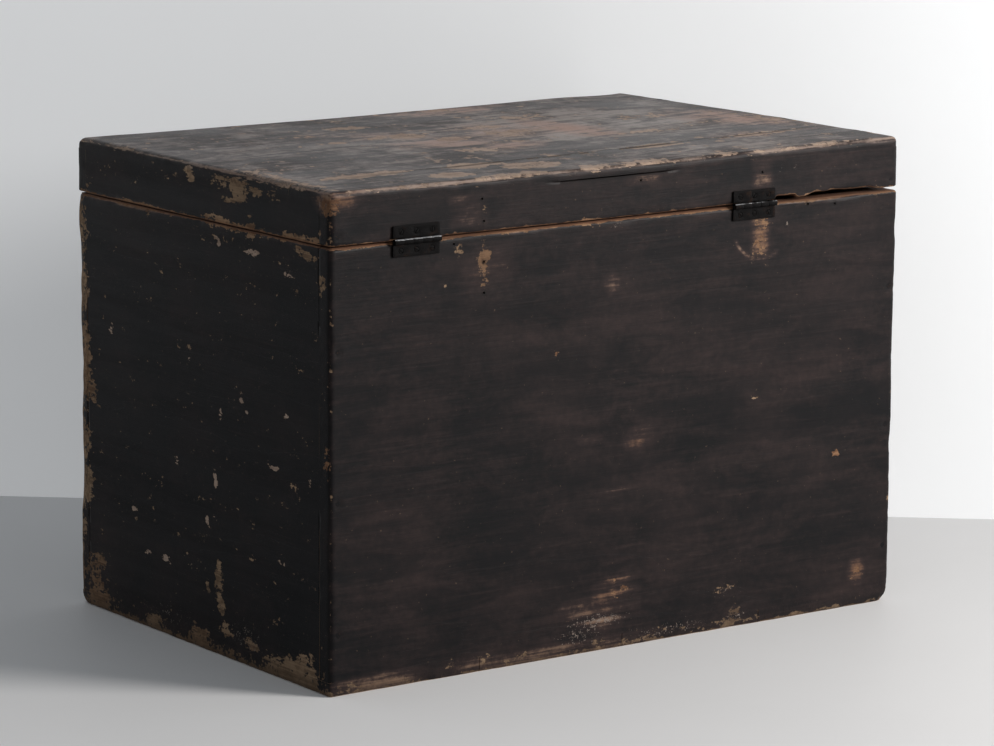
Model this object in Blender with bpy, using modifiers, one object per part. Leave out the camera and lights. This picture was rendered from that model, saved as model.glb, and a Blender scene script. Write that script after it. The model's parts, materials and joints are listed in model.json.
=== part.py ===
"""Painted wooden chest: a nailed board box with a framed lid on two butt hinges that sit on its back.

Metres, +Z up. The origin is on the floor under the middle of the chest. +X runs along its length, the front
faces -Y and the hinges are on the back, at +Y. Left and right are as seen from the front.
"""

from math import pi, radians

import bmesh
import bpy
from mathutils import Vector

# Driving dimensions of the woodwork
LENGTH = 0.830
DEPTH = 0.554
HEIGHT = 0.577
WALL = 0.022
BOTTOM_THICKNESS = 0.016
TOP_THICKNESS = 0.013
LID_HEIGHT = 0.062
LID_SEAM = 0.0015
SEAM_FALL = 0.004
LONG_WALL_LOWER_BOARD = 0.262
END_WALL_LOWER_BOARD = 0.236
BOTTOM_BOARDS = 4

# The top's back board is sawn to a taper, and its joint with the next board slants
TOP_BACK_BOARD_LEFT = 0.128
TOP_BACK_BOARD_RIGHT = 0.084

# Edge joint of the wall boards
TONGUE_HEIGHT = 0.007
TONGUE_THICKNESS = 0.007

# Worn edges
CORNER_ROUND = 0.005
ARRIS_ROUND = 0.0025
ROUND_SEGMENTS = 3

# Gap left between pieces that touch, and the distances within which points are level or the same
FIT = 0.0003
LEVEL = 0.00003
MERGE = 0.00001
SHARP_ANGLE = radians(35)

# Butt hinges
HINGE_LENGTH = 0.0635
LEAF_REACH = 0.0177
LEAF_THICKNESS = 0.002
LEAF_CORNER = 0.0012
BARREL_RADIUS = 0.0035
BARREL_SIDES = 24
PIN_RADIUS = 0.0016
PIN_CLEARANCE = 0.0002
PIN_OVERHANG = 0.0012
PIN_DOME = 0.0006
KNUCKLES = 5
KNUCKLE_GAP = 0.0004
RIGHT_HINGE_INSET = 0.1155
LEFT_HINGE_INSET = 0.2265

# Countersunk screws
SCREW_LENGTH = 0.015
SCREW_HEAD_RADIUS = 0.0033
SCREW_HEAD_RIM = 0.0003
SCREW_SHANK_RADIUS = 0.0016
SCREW_POINT = 0.004
SCREW_INSET = 0.0105
SCREWS_PER_LEAF = 3
SCREW_SIDES = 16

# Cut nails: square shanks that taper, with heads driven just below the paint
NAIL_HEAD_RADIUS = 0.0042
NAIL_HEAD_HEIGHT = 0.0012
NAIL_SHANK_RADIUS = 0.0024
NAIL_POINT_RADIUS = 0.0013
NAIL_SUNK = 0.0004
WALL_NAIL_LENGTH = 0.056
LID_NAIL_LENGTH = 0.050
TOP_NAIL_LENGTH = 0.040
WALL_NAIL_INSET = 0.055
TOP_NAIL_INSET = 0.095
NAIL_SIDES = 4

# Colours and finishes: linear colour, roughness, metallic
BLACK_PAINT = ((0.030, 0.026, 0.026, 1.0), 0.62, 0.0)
TOP_PAINT = ((0.046, 0.042, 0.040, 1.0), 0.45, 0.0)
BARE_PINE = ((0.270, 0.165, 0.085, 1.0), 0.75, 0.0)
HINGE_IRON = ((0.018, 0.018, 0.020, 1.0), 0.45, 0.8)
NAIL_IRON = ((0.060, 0.045, 0.038, 1.0), 0.70, 0.6)

# Places that follow from the dimensions
AXIS_STANDOFF = BARREL_RADIUS + FIT
HINGE_PROJECTION = AXIS_STANDOFF + BARREL_RADIUS
BACK_Y = (DEPTH - HINGE_PROJECTION) / 2
FRONT_Y = BACK_Y - DEPTH
RIGHT_X = LENGTH / 2
LEFT_X = -RIGHT_X
WALL_FOOT = BOTTOM_THICKNESS + FIT
LID_BASE = HEIGHT - LID_HEIGHT
WALL_TOP = LID_BASE - LID_SEAM
RAIL_TOP = HEIGHT - TOP_THICKNESS - FIT
TOP_BASE = HEIGHT - TOP_THICKNESS
END_FRONT_Y = FRONT_Y + WALL + FIT
END_BACK_Y = BACK_Y - WALL - FIT
AXIS = Vector((0.0, BACK_Y + AXIS_STANDOFF, LID_BASE - LID_SEAM / 2))
LEAF_BACK_Y = BACK_Y + FIT
LEAF_FACE_Y = LEAF_BACK_Y + LEAF_THICKNESS
LEAF_ROOT = BARREL_RADIUS + KNUCKLE_GAP
KNUCKLE_LENGTH = HINGE_LENGTH / KNUCKLES

# Turns that point a fastener's head out of a face
HEAD_TO_BACK = (-pi / 2, 0.0, 0.0)
HEAD_TO_FRONT = (pi / 2, 0.0, 0.0)
HEAD_UP = (0.0, 0.0, 0.0)


def clear_scene():
    for obj in list(bpy.data.objects):
        bpy.data.objects.remove(obj, do_unlink=True)


def new_collection(name):
    collection = bpy.data.collections.new(name)
    bpy.context.scene.collection.children.link(collection)
    return collection


clear_scene()
CHEST = new_collection("painted_wooden_chest")
CUTTERS = new_collection("cutters")


def finish_material(name, finish):
    colour, roughness, metallic = finish
    material = bpy.data.materials.new(name)
    material.use_nodes = True
    shader = material.node_tree.nodes["Principled BSDF"]
    shader.inputs["Base Color"].default_value = colour
    shader.inputs["Roughness"].default_value = roughness
    shader.inputs["Metallic"].default_value = metallic
    return material


def add_piece(name, mesh, centre, finish, parent=None, turn=HEAD_UP):
    """Puts a mesh in the chest at a place in the world, under its joint's empty if it moves."""
    obj = bpy.data.objects.new(name, mesh)
    CHEST.objects.link(obj)
    mesh.materials.append(finish_material(name, finish))
    place(obj, centre, parent, turn)
    return obj


def place(obj, centre, parent, turn=HEAD_UP):
    obj.parent = parent
    obj.location = Vector(centre) - (parent.location if parent else Vector())
    obj.rotation_euler = turn


def cut(piece, cutter, operation="DIFFERENCE"):
    boolean = piece.modifiers.new(cutter.name, "BOOLEAN")
    boolean.operation = operation
    boolean.object = cutter


def add_cutter(name, mesh, centre, parent=None, turn=HEAD_UP):
    obj = bpy.data.objects.new(name, mesh)
    CUTTERS.objects.link(obj)
    obj.hide_render = True
    obj.display_type = "WIRE"
    place(obj, centre, parent, turn)
    return obj


def mesh_from(bm, name):
    mesh = bpy.data.meshes.new(name)
    bm.to_mesh(mesh)
    bm.free()
    return mesh


def block(size):
    """A cube stretched to a size, about its own middle."""
    bm = bmesh.new()
    bmesh.ops.create_cube(bm, size=1.0)
    bmesh.ops.scale(bm, vec=size, verts=bm.verts)
    return bm


def along(axis, distance):
    """The vector of a distance along the axis with that letter."""
    return Vector([distance if letter == axis else 0.0 for letter in "XYZ"])


def part_of(point, axis):
    return point["XYZ".index(axis)]


def side_limit(bm, side):
    """How far the mesh reaches on a side such as "+X" or "-Z"."""
    extreme = max if side.startswith("+") else min
    return extreme(part_of(vert.co, side[-1]) for vert in bm.verts)


def slice_across(bm, axis, at):
    geometry = bm.verts[:] + bm.edges[:] + bm.faces[:]
    bmesh.ops.bisect_plane(bm, geom=geometry, plane_co=along(axis, at), plane_no=along(axis, 1.0))


def push_faces(bm, faces, offset):
    raised = bmesh.ops.extrude_face_region(bm, geom=faces)
    moved = [item for item in raised["geom"] if isinstance(item, bmesh.types.BMVert)]
    bmesh.ops.translate(bm, verts=moved, vec=offset)
    bmesh.ops.delete(bm, geom=[face for face in faces if face.is_valid], context="FACES")


def round_edges(bm, pairs, radius):
    """Rounds each edge where the two named sides of the block meet, such as ("+X", "+Y")."""
    def on_side(edge, side):
        limit = side_limit(bm, side)
        return all(abs(part_of(vert.co, side[-1]) - limit) < LEVEL for vert in edge.verts)

    for pair in pairs:
        edges = [edge for edge in bm.edges if all(on_side(edge, side) for side in pair)]
        bmesh.ops.bevel(bm, geom=edges, offset=radius, segments=ROUND_SEGMENTS, profile=0.5, affect="EDGES",
                        clamp_overlap=True, material=-1)


def edge_joint(bm, across, side, height, thickness):
    """Pushes a strip along one edge of a board up: out of its top as a tongue, or into its foot as a groove."""
    slice_across(bm, across, -thickness / 2)
    slice_across(bm, across, thickness / 2)
    limit = side_limit(bm, side)
    strip = []
    for face in bm.faces:
        middle = face.calc_center_median()
        if abs(part_of(middle, side[-1]) - limit) < LEVEL and abs(part_of(middle, across)) < thickness / 2:
            strip.append(face)
    push_faces(bm, strip, along(side[-1], height))


def seam_fall(y):
    """How much lower the lid's seam lies at a depth than at the back."""
    return SEAM_FALL * (BACK_Y - y) / DEPTH


def board(name, low, high, finish, parent=None, rounded=(), tongue=None, groove=None, seam=None):
    """A straight board between two corners, with worn edges and its share of an edge joint.

    A board that borders the lid's seam names that side, "+Z" or "-Z", which then follows the seam's fall.
    """
    low, high = Vector(low), Vector(high)
    bm = block(high - low)
    for pairs, radius in rounded:
        round_edges(bm, pairs, radius)
    if tongue:
        edge_joint(bm, tongue, "+Z", TONGUE_HEIGHT, TONGUE_THICKNESS)
    if groove:
        edge_joint(bm, groove, "-Z", TONGUE_HEIGHT + FIT, TONGUE_THICKNESS + 2 * FIT)
    middle = (low + high) / 2
    for vert in bm.verts:
        if seam == ("+Z" if vert.co.z > 0.0 else "-Z"):
            vert.co.z -= seam_fall(middle.y + vert.co.y)
    bmesh.ops.recalc_face_normals(bm, faces=bm.faces)
    return add_piece(name, mesh_from(bm, name), middle, finish, parent)


def shade_round(mesh):
    mesh.shade_smooth()
    mesh.set_sharp_from_angle(angle=SHARP_ANGLE)


def turned_mesh(name, profile, sides):
    """Spins a profile of (radius, height) points, given from the head down, round its own Z axis."""
    bm = bmesh.new()
    points = [bm.verts.new((radius, 0.0, height)) for radius, height in profile]
    for upper, lower in zip(points, points[1:]):
        bm.edges.new((upper, lower))
    mesh = mesh_from(bm, name)
    spun = bpy.data.objects.new(name, mesh)
    CUTTERS.objects.link(spun)
    screw = spun.modifiers.new("turn", "SCREW")
    screw.steps = sides
    screw.render_steps = sides
    screw.use_merge_vertices = True
    screw.merge_threshold = MERGE
    solid = bpy.data.meshes.new_from_object(spun.evaluated_get(bpy.context.evaluated_depsgraph_get()))
    bpy.data.objects.remove(spun)
    solid.name = name
    shade_round(solid)
    return solid


def screw_profile(grow):
    """Countersunk head level with the leaf's face, straight shank and point; grow gives the hole round it."""
    head = SCREW_HEAD_RADIUS + grow
    shank = SCREW_SHANK_RADIUS + grow
    neck = -SCREW_HEAD_RIM - (SCREW_HEAD_RADIUS - SCREW_SHANK_RADIUS)
    return [(0.0, grow), (head, grow), (head, -SCREW_HEAD_RIM), (shank, neck),
            (shank, SCREW_POINT - SCREW_LENGTH), (0.0, -SCREW_LENGTH - grow)]


def nail_profile(length, grow):
    """Flat head over a shank that tapers to a blunt point; grow gives the hole round it."""
    head = NAIL_HEAD_RADIUS + grow
    neck = NAIL_SHANK_RADIUS + grow
    point = NAIL_POINT_RADIUS + grow
    mouth = NAIL_SUNK + FIT if grow else 0.0
    return [(0.0, mouth), (head, mouth), (head, -NAIL_HEAD_HEIGHT - grow), (neck, -NAIL_HEAD_HEIGHT - grow),
            (point, -length - grow), (0.0, -length - grow)]


def drive(name, profile, sides, centre, turn, targets, finish, parent=None):
    """Sets a screw or a nail in the pieces that it holds, each with a hole a fit wider than the fastener."""
    hole = add_cutter(name + "_hole", turned_mesh(name + "_hole", profile(FIT), sides), centre, parent, turn)
    for target in targets:
        cut(target, hole)
    return add_piece(name, turned_mesh(name, profile(0.0), sides), centre, finish, parent, turn)


def drive_nail(name, length, centre, turn, targets, parent=None):
    def profile(grow):
        return nail_profile(length, grow)

    return drive(name, profile, NAIL_SIDES, centre, turn, targets, NAIL_IRON, parent)


def long_wall(name, outer_y, inward):
    """Two boards, joined edge to edge, that run the whole length and cover the ends of the end walls."""
    low_y, high_y = sorted((outer_y, outer_y + inward * WALL))
    outside = "+Y" if inward < 0 else "-Y"
    corners = ([(outside, "-X"), (outside, "+X")], CORNER_ROUND)
    joint_z = WALL_FOOT + LONG_WALL_LOWER_BOARD
    lower = board(name + "_lower_board", (LEFT_X, low_y, WALL_FOOT), (RIGHT_X, high_y, joint_z), BLACK_PAINT,
                  rounded=[corners], tongue="Y")
    upper = board(name + "_upper_board", (LEFT_X, low_y, joint_z + FIT), (RIGHT_X, high_y, WALL_TOP), BLACK_PAINT,
                  rounded=[corners, ([(outside, "+Z")], ARRIS_ROUND)], groove="Y", seam="+Z")
    return lower, upper


def end_wall(name, outer_x, inward):
    """Two boards, joined edge to edge, held between the front and the back."""
    low_x, high_x = sorted((outer_x, outer_x + inward * WALL))
    outside = "+X" if inward < 0 else "-X"
    joint_z = WALL_FOOT + END_WALL_LOWER_BOARD
    lower = board(name + "_lower_board", (low_x, END_FRONT_Y, WALL_FOOT), (high_x, END_BACK_Y, joint_z),
                  BLACK_PAINT, tongue="X")
    upper = board(name + "_upper_board", (low_x, END_FRONT_Y, joint_z + FIT), (high_x, END_BACK_Y, WALL_TOP),
                  BLACK_PAINT, rounded=[([(outside, "+Z")], ARRIS_ROUND)], groove="X", seam="+Z")
    return lower, upper


def bottom_boards():
    """Boards laid front to back under the walls, with their ends level with the outside."""
    width = (LENGTH - FIT * (BOTTOM_BOARDS - 1)) / BOTTOM_BOARDS
    for number in range(BOTTOM_BOARDS):
        low_x = LEFT_X + number * (width + FIT)
        worn = [("-Y", "-Z"), ("+Y", "-Z")]
        corners = []
        if number == 0:
            worn.append(("-X", "-Z"))
            corners = [("-X", "-Y"), ("-X", "+Y")]
        if number == BOTTOM_BOARDS - 1:
            worn.append(("+X", "-Z"))
            corners = [("+X", "-Y"), ("+X", "+Y")]
        board(f"bottom_board_{number + 1}", (low_x, FRONT_Y, 0.0), (low_x + width, BACK_Y, BOTTOM_THICKNESS),
              BARE_PINE, rounded=[(corners, CORNER_ROUND), (worn, ARRIS_ROUND)])


def wall_nails(front, back, left, right):
    """Nails through the front and back into the end grain of the end walls, tied to each board's height."""
    lower_top = WALL_FOOT + LONG_WALL_LOWER_BOARD
    heights = (WALL_FOOT + WALL_NAIL_INSET, lower_top - WALL_NAIL_INSET, (lower_top + WALL_TOP) / 2)
    for wall_name, wall, face_y, turn, inward in (
        ("front", front, FRONT_Y, HEAD_TO_FRONT, 1),
        ("back", back, BACK_Y, HEAD_TO_BACK, -1),
    ):
        for end_name, end, x in (("left", left, LEFT_X + WALL / 2), ("right", right, RIGHT_X - WALL / 2)):
            for number, z in enumerate(heights, 1):
                drive_nail(f"{wall_name}_{end_name}_nail_{number}", WALL_NAIL_LENGTH,
                           (x, face_y + inward * NAIL_SUNK, z), turn, wall + end)


def lid_rail(name, low, high, rounded):
    return board(name, (*low, LID_BASE), (*high, RAIL_TOP), BLACK_PAINT, LID_AXIS, rounded, seam="-Z")


def lid_frame():
    """Four rails on edge: the front and back ones cover the ends of the side ones, as in the box below."""
    back = lid_rail("lid_back_rail", (LEFT_X, BACK_Y - WALL), (RIGHT_X, BACK_Y),
                    [([("+Y", "-X"), ("+Y", "+X")], CORNER_ROUND), ([("+Y", "-Z")], ARRIS_ROUND)])
    front = lid_rail("lid_front_rail", (LEFT_X, FRONT_Y), (RIGHT_X, FRONT_Y + WALL),
                     [([("-Y", "-X"), ("-Y", "+X")], CORNER_ROUND), ([("-Y", "-Z")], ARRIS_ROUND)])
    left = lid_rail("lid_left_rail", (LEFT_X, END_FRONT_Y), (LEFT_X + WALL, END_BACK_Y),
                    [([("-X", "-Z")], ARRIS_ROUND)])
    right = lid_rail("lid_right_rail", (RIGHT_X - WALL, END_FRONT_Y), (RIGHT_X, END_BACK_Y),
                     [([("+X", "-Z")], ARRIS_ROUND)])
    nail_z = (LID_BASE + HEIGHT - NAIL_SUNK - TOP_NAIL_LENGTH) / 2
    for rail_name, rail, face_y, turn, inward in (
        ("front", front, FRONT_Y, HEAD_TO_FRONT, 1),
        ("back", back, BACK_Y, HEAD_TO_BACK, -1),
    ):
        for side_name, side, x in (("left", left, LEFT_X + WALL / 2), ("right", right, RIGHT_X - WALL / 2)):
            drive_nail(f"lid_{rail_name}_{side_name}_nail", LID_NAIL_LENGTH,
                       (x, face_y + inward * NAIL_SUNK, nail_z), turn, (rail, side), LID_AXIS)
    return back, left, right


def top_board(name, front_edge, back_edge, rounded):
    """A board of the lid's top whose edges are (left, right) depths, so that it may taper along its length."""
    low_y = min(front_edge)
    high_y = max(back_edge)
    bm = block((LENGTH, high_y - low_y, TOP_THICKNESS))
    middle_y = (low_y + high_y) / 2
    for vert in bm.verts:
        end = 0 if vert.co.x < 0 else 1
        edge = front_edge if vert.co.y < 0 else back_edge
        vert.co.y = edge[end] - middle_y
    for pairs, radius in rounded:
        round_edges(bm, pairs, radius)
    return add_piece(name, mesh_from(bm, name), (0.0, middle_y, TOP_BASE + TOP_THICKNESS / 2), TOP_PAINT, LID_AXIS)


def lid_top(side_rails):
    """A wide front board and a narrow tapered back one, nailed down on the side rails."""
    slant = (BACK_Y - TOP_BACK_BOARD_LEFT, BACK_Y - TOP_BACK_BOARD_RIGHT)
    outer_ends = [("+Z", "-X"), ("+Z", "+X")]
    back = top_board("top_back_board", slant, (BACK_Y, BACK_Y),
                     [([("+Y", "-X"), ("+Y", "+X")], CORNER_ROUND), (outer_ends + [("+Z", "+Y")], ARRIS_ROUND)])
    wide_back = (slant[0] - FIT, slant[1] - FIT)
    wide = top_board("top_wide_board", (FRONT_Y, FRONT_Y), wide_back,
                     [([("-Y", "-X"), ("-Y", "+X")], CORNER_ROUND), (outer_ends + [("+Z", "-Y")], ARRIS_ROUND)])
    for end, (side_name, x) in enumerate((("left", LEFT_X + WALL / 2), ("right", RIGHT_X - WALL / 2))):
        places = (("top_back", back, (slant[end] + BACK_Y) / 2),
                  ("top_middle", wide, wide_back[end] - TOP_NAIL_INSET),
                  ("top_front", wide, FRONT_Y + TOP_NAIL_INSET))
        for name, piece, y in places:
            drive_nail(f"{name}_{side_name}_nail", TOP_NAIL_LENGTH, (x, y, HEIGHT - NAIL_SUNK), HEAD_UP,
                       (piece, side_rails[end]), LID_AXIS)


def rod_mesh(name, radius, length, sides):
    """A plain round rod along X."""
    bm = bmesh.new()
    bmesh.ops.create_cone(bm, cap_ends=True, segments=sides, radius1=radius, radius2=radius, depth=length)
    turn = Vector((0, 0, 1)).rotation_difference(Vector((1, 0, 0))).to_matrix()
    bmesh.ops.rotate(bm, verts=bm.verts, cent=(0, 0, 0), matrix=turn)
    mesh = mesh_from(bm, name)
    shade_round(mesh)
    return mesh


def hinge_leaf(name, x, up, knuckles, bore, parent):
    """A flat plate with tabs that run into its own knuckles; up is 1 for the lid's leaf and -1 for the chest's."""
    plate_height = LEAF_REACH - LEAF_ROOT
    bm = block((HINGE_LENGTH, LEAF_THICKNESS, plate_height))
    far, near = ("+Z", "-Z") if up > 0 else ("-Z", "+Z")
    round_edges(bm, [(far, "-X"), (far, "+X")], LEAF_CORNER)
    spans = []
    for number in knuckles:
        start = -HINGE_LENGTH / 2 + number * KNUCKLE_LENGTH + KNUCKLE_GAP / 2
        spans.append((start, start + KNUCKLE_LENGTH - KNUCKLE_GAP))
    for start, stop in spans:
        slice_across(bm, "X", start + FIT)
        slice_across(bm, "X", stop - FIT)
    limit = side_limit(bm, near)
    tabs = []
    for face in bm.faces:
        middle = face.calc_center_median()
        over_knuckle = any(start + FIT < middle.x < stop - FIT for start, stop in spans)
        if over_knuckle and abs(middle.z - limit) < LEVEL:
            tabs.append(face)
    push_faces(bm, tabs, (0.0, 0.0, -up * LEAF_ROOT))
    bmesh.ops.recalc_face_normals(bm, faces=bm.faces)
    centre_z = AXIS.z + up * (LEAF_ROOT + plate_height / 2)
    leaf = add_piece(name, mesh_from(bm, name), (x, LEAF_BACK_Y + LEAF_THICKNESS / 2, centre_z), HINGE_IRON, parent)
    for number, (start, stop) in zip(knuckles, spans):
        barrel = rod_mesh(f"{name}_knuckle_{number}", BARREL_RADIUS, stop - start, BARREL_SIDES)
        cut(leaf, add_cutter(barrel.name, barrel, (x + (start + stop) / 2, AXIS.y, AXIS.z), parent), "UNION")
    cut(leaf, bore)
    return leaf


def leaf_screws(leaf, name, x, up, wood, parent):
    """A row of screws along the middle of the plate, into the wood behind it."""
    z = AXIS.z + up * (LEAF_ROOT + LEAF_REACH) / 2
    pitch = (HINGE_LENGTH - 2 * SCREW_INSET) / (SCREWS_PER_LEAF - 1)
    for number in range(SCREWS_PER_LEAF):
        screw_x = x - HINGE_LENGTH / 2 + SCREW_INSET + number * pitch
        drive(f"{name}_screw_{number + 1}", screw_profile, SCREW_SIDES, (screw_x, LEAF_FACE_Y, z), HEAD_TO_BACK,
              (leaf, wood), HINGE_IRON, parent)


def hinge(name, x, wall_board, rail):
    """Two leaves on the outside of the back, with a pin through their interleaved knuckles."""
    bore_length = HINGE_LENGTH + 2 * PIN_OVERHANG
    bore_mesh = rod_mesh(name + "_bore", PIN_RADIUS + PIN_CLEARANCE, bore_length, BARREL_SIDES)
    bore = add_cutter(name + "_bore", bore_mesh, (x, AXIS.y, AXIS.z))
    chest_leaf = hinge_leaf(name + "_chest_leaf", x, -1, range(0, KNUCKLES, 2), bore, None)
    lid_leaf = hinge_leaf(name + "_lid_leaf", x, 1, range(1, KNUCKLES, 2), bore, LID_AXIS)
    half = HINGE_LENGTH / 2
    pin = [(0.0, half + PIN_OVERHANG), (PIN_RADIUS - PIN_DOME, half + PIN_OVERHANG),
           (PIN_RADIUS, half + PIN_OVERHANG - PIN_DOME), (PIN_RADIUS, PIN_DOME - half - PIN_OVERHANG),
           (PIN_RADIUS - PIN_DOME, -half - PIN_OVERHANG), (0.0, -half - PIN_OVERHANG)]
    add_piece(name + "_pin", turned_mesh(name + "_pin", pin, BARREL_SIDES), (x, AXIS.y, AXIS.z), HINGE_IRON,
              turn=(0.0, pi / 2, 0.0))
    leaf_screws(chest_leaf, name + "_chest", x, -1, wall_board, None)
    leaf_screws(lid_leaf, name + "_lid", x, 1, rail, LID_AXIS)


LID_AXIS = bpy.data.objects.new("lid_axis", None)
LID_AXIS.location = AXIS
CHEST.objects.link(LID_AXIS)

back_wall = long_wall("back", BACK_Y, -1)
front_wall = long_wall("front", FRONT_Y, 1)
left_end = end_wall("left_end", LEFT_X, 1)
right_end = end_wall("right_end", RIGHT_X, -1)
bottom_boards()
wall_nails(front_wall, back_wall, left_end, right_end)
back_rail, left_rail, right_rail = lid_frame()
lid_top((left_rail, right_rail))
hinge("left_hinge", LEFT_X + LEFT_HINGE_INSET, back_wall[1], back_rail)
hinge("right_hinge", RIGHT_X - RIGHT_HINGE_INSET, back_wall[1], back_rail)
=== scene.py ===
"""Looks of the painted wooden chest: worn black paint over pine boards, iron butt hinges, a plain pale stage.

Metres, +Z up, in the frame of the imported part: the back with the hinges faces +Y, the front faces -Y.
"""

import json
import math
from collections import namedtuple
from functools import wraps

import bmesh
import bpy
import numpy as np
from bpy.props import FloatProperty, FloatVectorProperty, PointerProperty
from mathutils import Matrix, Vector


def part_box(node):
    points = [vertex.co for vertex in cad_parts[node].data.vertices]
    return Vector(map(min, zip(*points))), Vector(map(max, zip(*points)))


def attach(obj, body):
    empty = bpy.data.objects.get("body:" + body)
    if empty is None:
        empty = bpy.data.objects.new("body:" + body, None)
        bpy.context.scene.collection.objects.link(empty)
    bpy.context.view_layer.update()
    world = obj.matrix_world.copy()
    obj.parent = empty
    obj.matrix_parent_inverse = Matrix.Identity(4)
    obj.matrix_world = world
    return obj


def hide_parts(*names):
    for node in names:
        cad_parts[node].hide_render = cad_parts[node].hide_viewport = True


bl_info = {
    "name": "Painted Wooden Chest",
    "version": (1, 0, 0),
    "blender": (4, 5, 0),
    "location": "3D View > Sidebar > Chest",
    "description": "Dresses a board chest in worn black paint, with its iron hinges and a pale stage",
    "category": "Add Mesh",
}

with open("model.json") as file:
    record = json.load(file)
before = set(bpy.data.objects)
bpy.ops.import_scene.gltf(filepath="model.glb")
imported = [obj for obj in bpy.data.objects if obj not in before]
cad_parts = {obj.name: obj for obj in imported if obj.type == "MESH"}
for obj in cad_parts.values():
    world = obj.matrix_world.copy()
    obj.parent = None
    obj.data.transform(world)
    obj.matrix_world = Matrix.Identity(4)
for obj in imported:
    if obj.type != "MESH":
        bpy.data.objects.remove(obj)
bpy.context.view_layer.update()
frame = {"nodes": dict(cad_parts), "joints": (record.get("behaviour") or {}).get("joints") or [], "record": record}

MM = 0.001
NODES = sorted(frame["nodes"])
BODY_OF = {}
for body_name, members in frame["record"]["behaviour"]["bodies"].items():
    for member in members:
        BODY_OF[member] = body_name

# Planes and lines that the boards share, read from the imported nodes
RIGHT_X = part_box("back_upper_board")[1].x
LEFT_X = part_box("back_upper_board")[0].x
BACK_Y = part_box("back_upper_board")[1].y
FRONT_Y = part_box("front_upper_board")[0].y
TOP_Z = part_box("top_wide_board")[1].z
SEAM_BACK_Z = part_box("back_upper_board")[1].z
SEAM_FRONT_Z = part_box("front_upper_board")[1].z
SEAM_SLOPE = (SEAM_BACK_Z - SEAM_FRONT_Z) / (BACK_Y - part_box("front_upper_board")[1].y)
SEAM_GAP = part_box("lid_back_rail")[0].z - SEAM_BACK_Z
PIN_Z = frame["joints"][0]["pos_m"][2]
JOINT_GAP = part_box("top_wide_board")[0].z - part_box("lid_front_rail")[1].z

# The sides of a block, and the two axes along which places on a side are counted
SIDES = ("-X", "+X", "-Y", "+Y", "-Z", "+Z")
FACE_AXES = {"X": (1, 2), "Y": (0, 2), "Z": (0, 1)}

# An edge that is rounded by less than this, in millimetres, lies against another board as a joint
WIDEST_JOINT = 1.0

# A mark on a painted face, in millimetres: its place along and up (or across) the face, its width and
# height, then its strength, its turn in degrees and its squareness (1 a diamond, 2 an oval, 6 nearly a
# rectangle). Its name says near or far and left or right as the photograph shows them, from behind.
Mark = namedtuple("Mark", "what along up wide tall amount turn square", defaults=(1.0, 0.0, 2.0))

# How far the slope of a mark's outline is spread, in millimetres: the most, the least, and between them as a
# share of the mark's smaller size
RAGGED = 2.4
LEAST_RAGGED = 1.6
RAGGED_SHARE = 0.45

# A board: its node, the axis of its grain, its painted sides, the sides whose joints the paint has closed,
# how far each side's edges are rounded (in millimetres) and the spacing of its mesh
Board = namedtuple("Board", "node grain painted closed rounding step")

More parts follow.
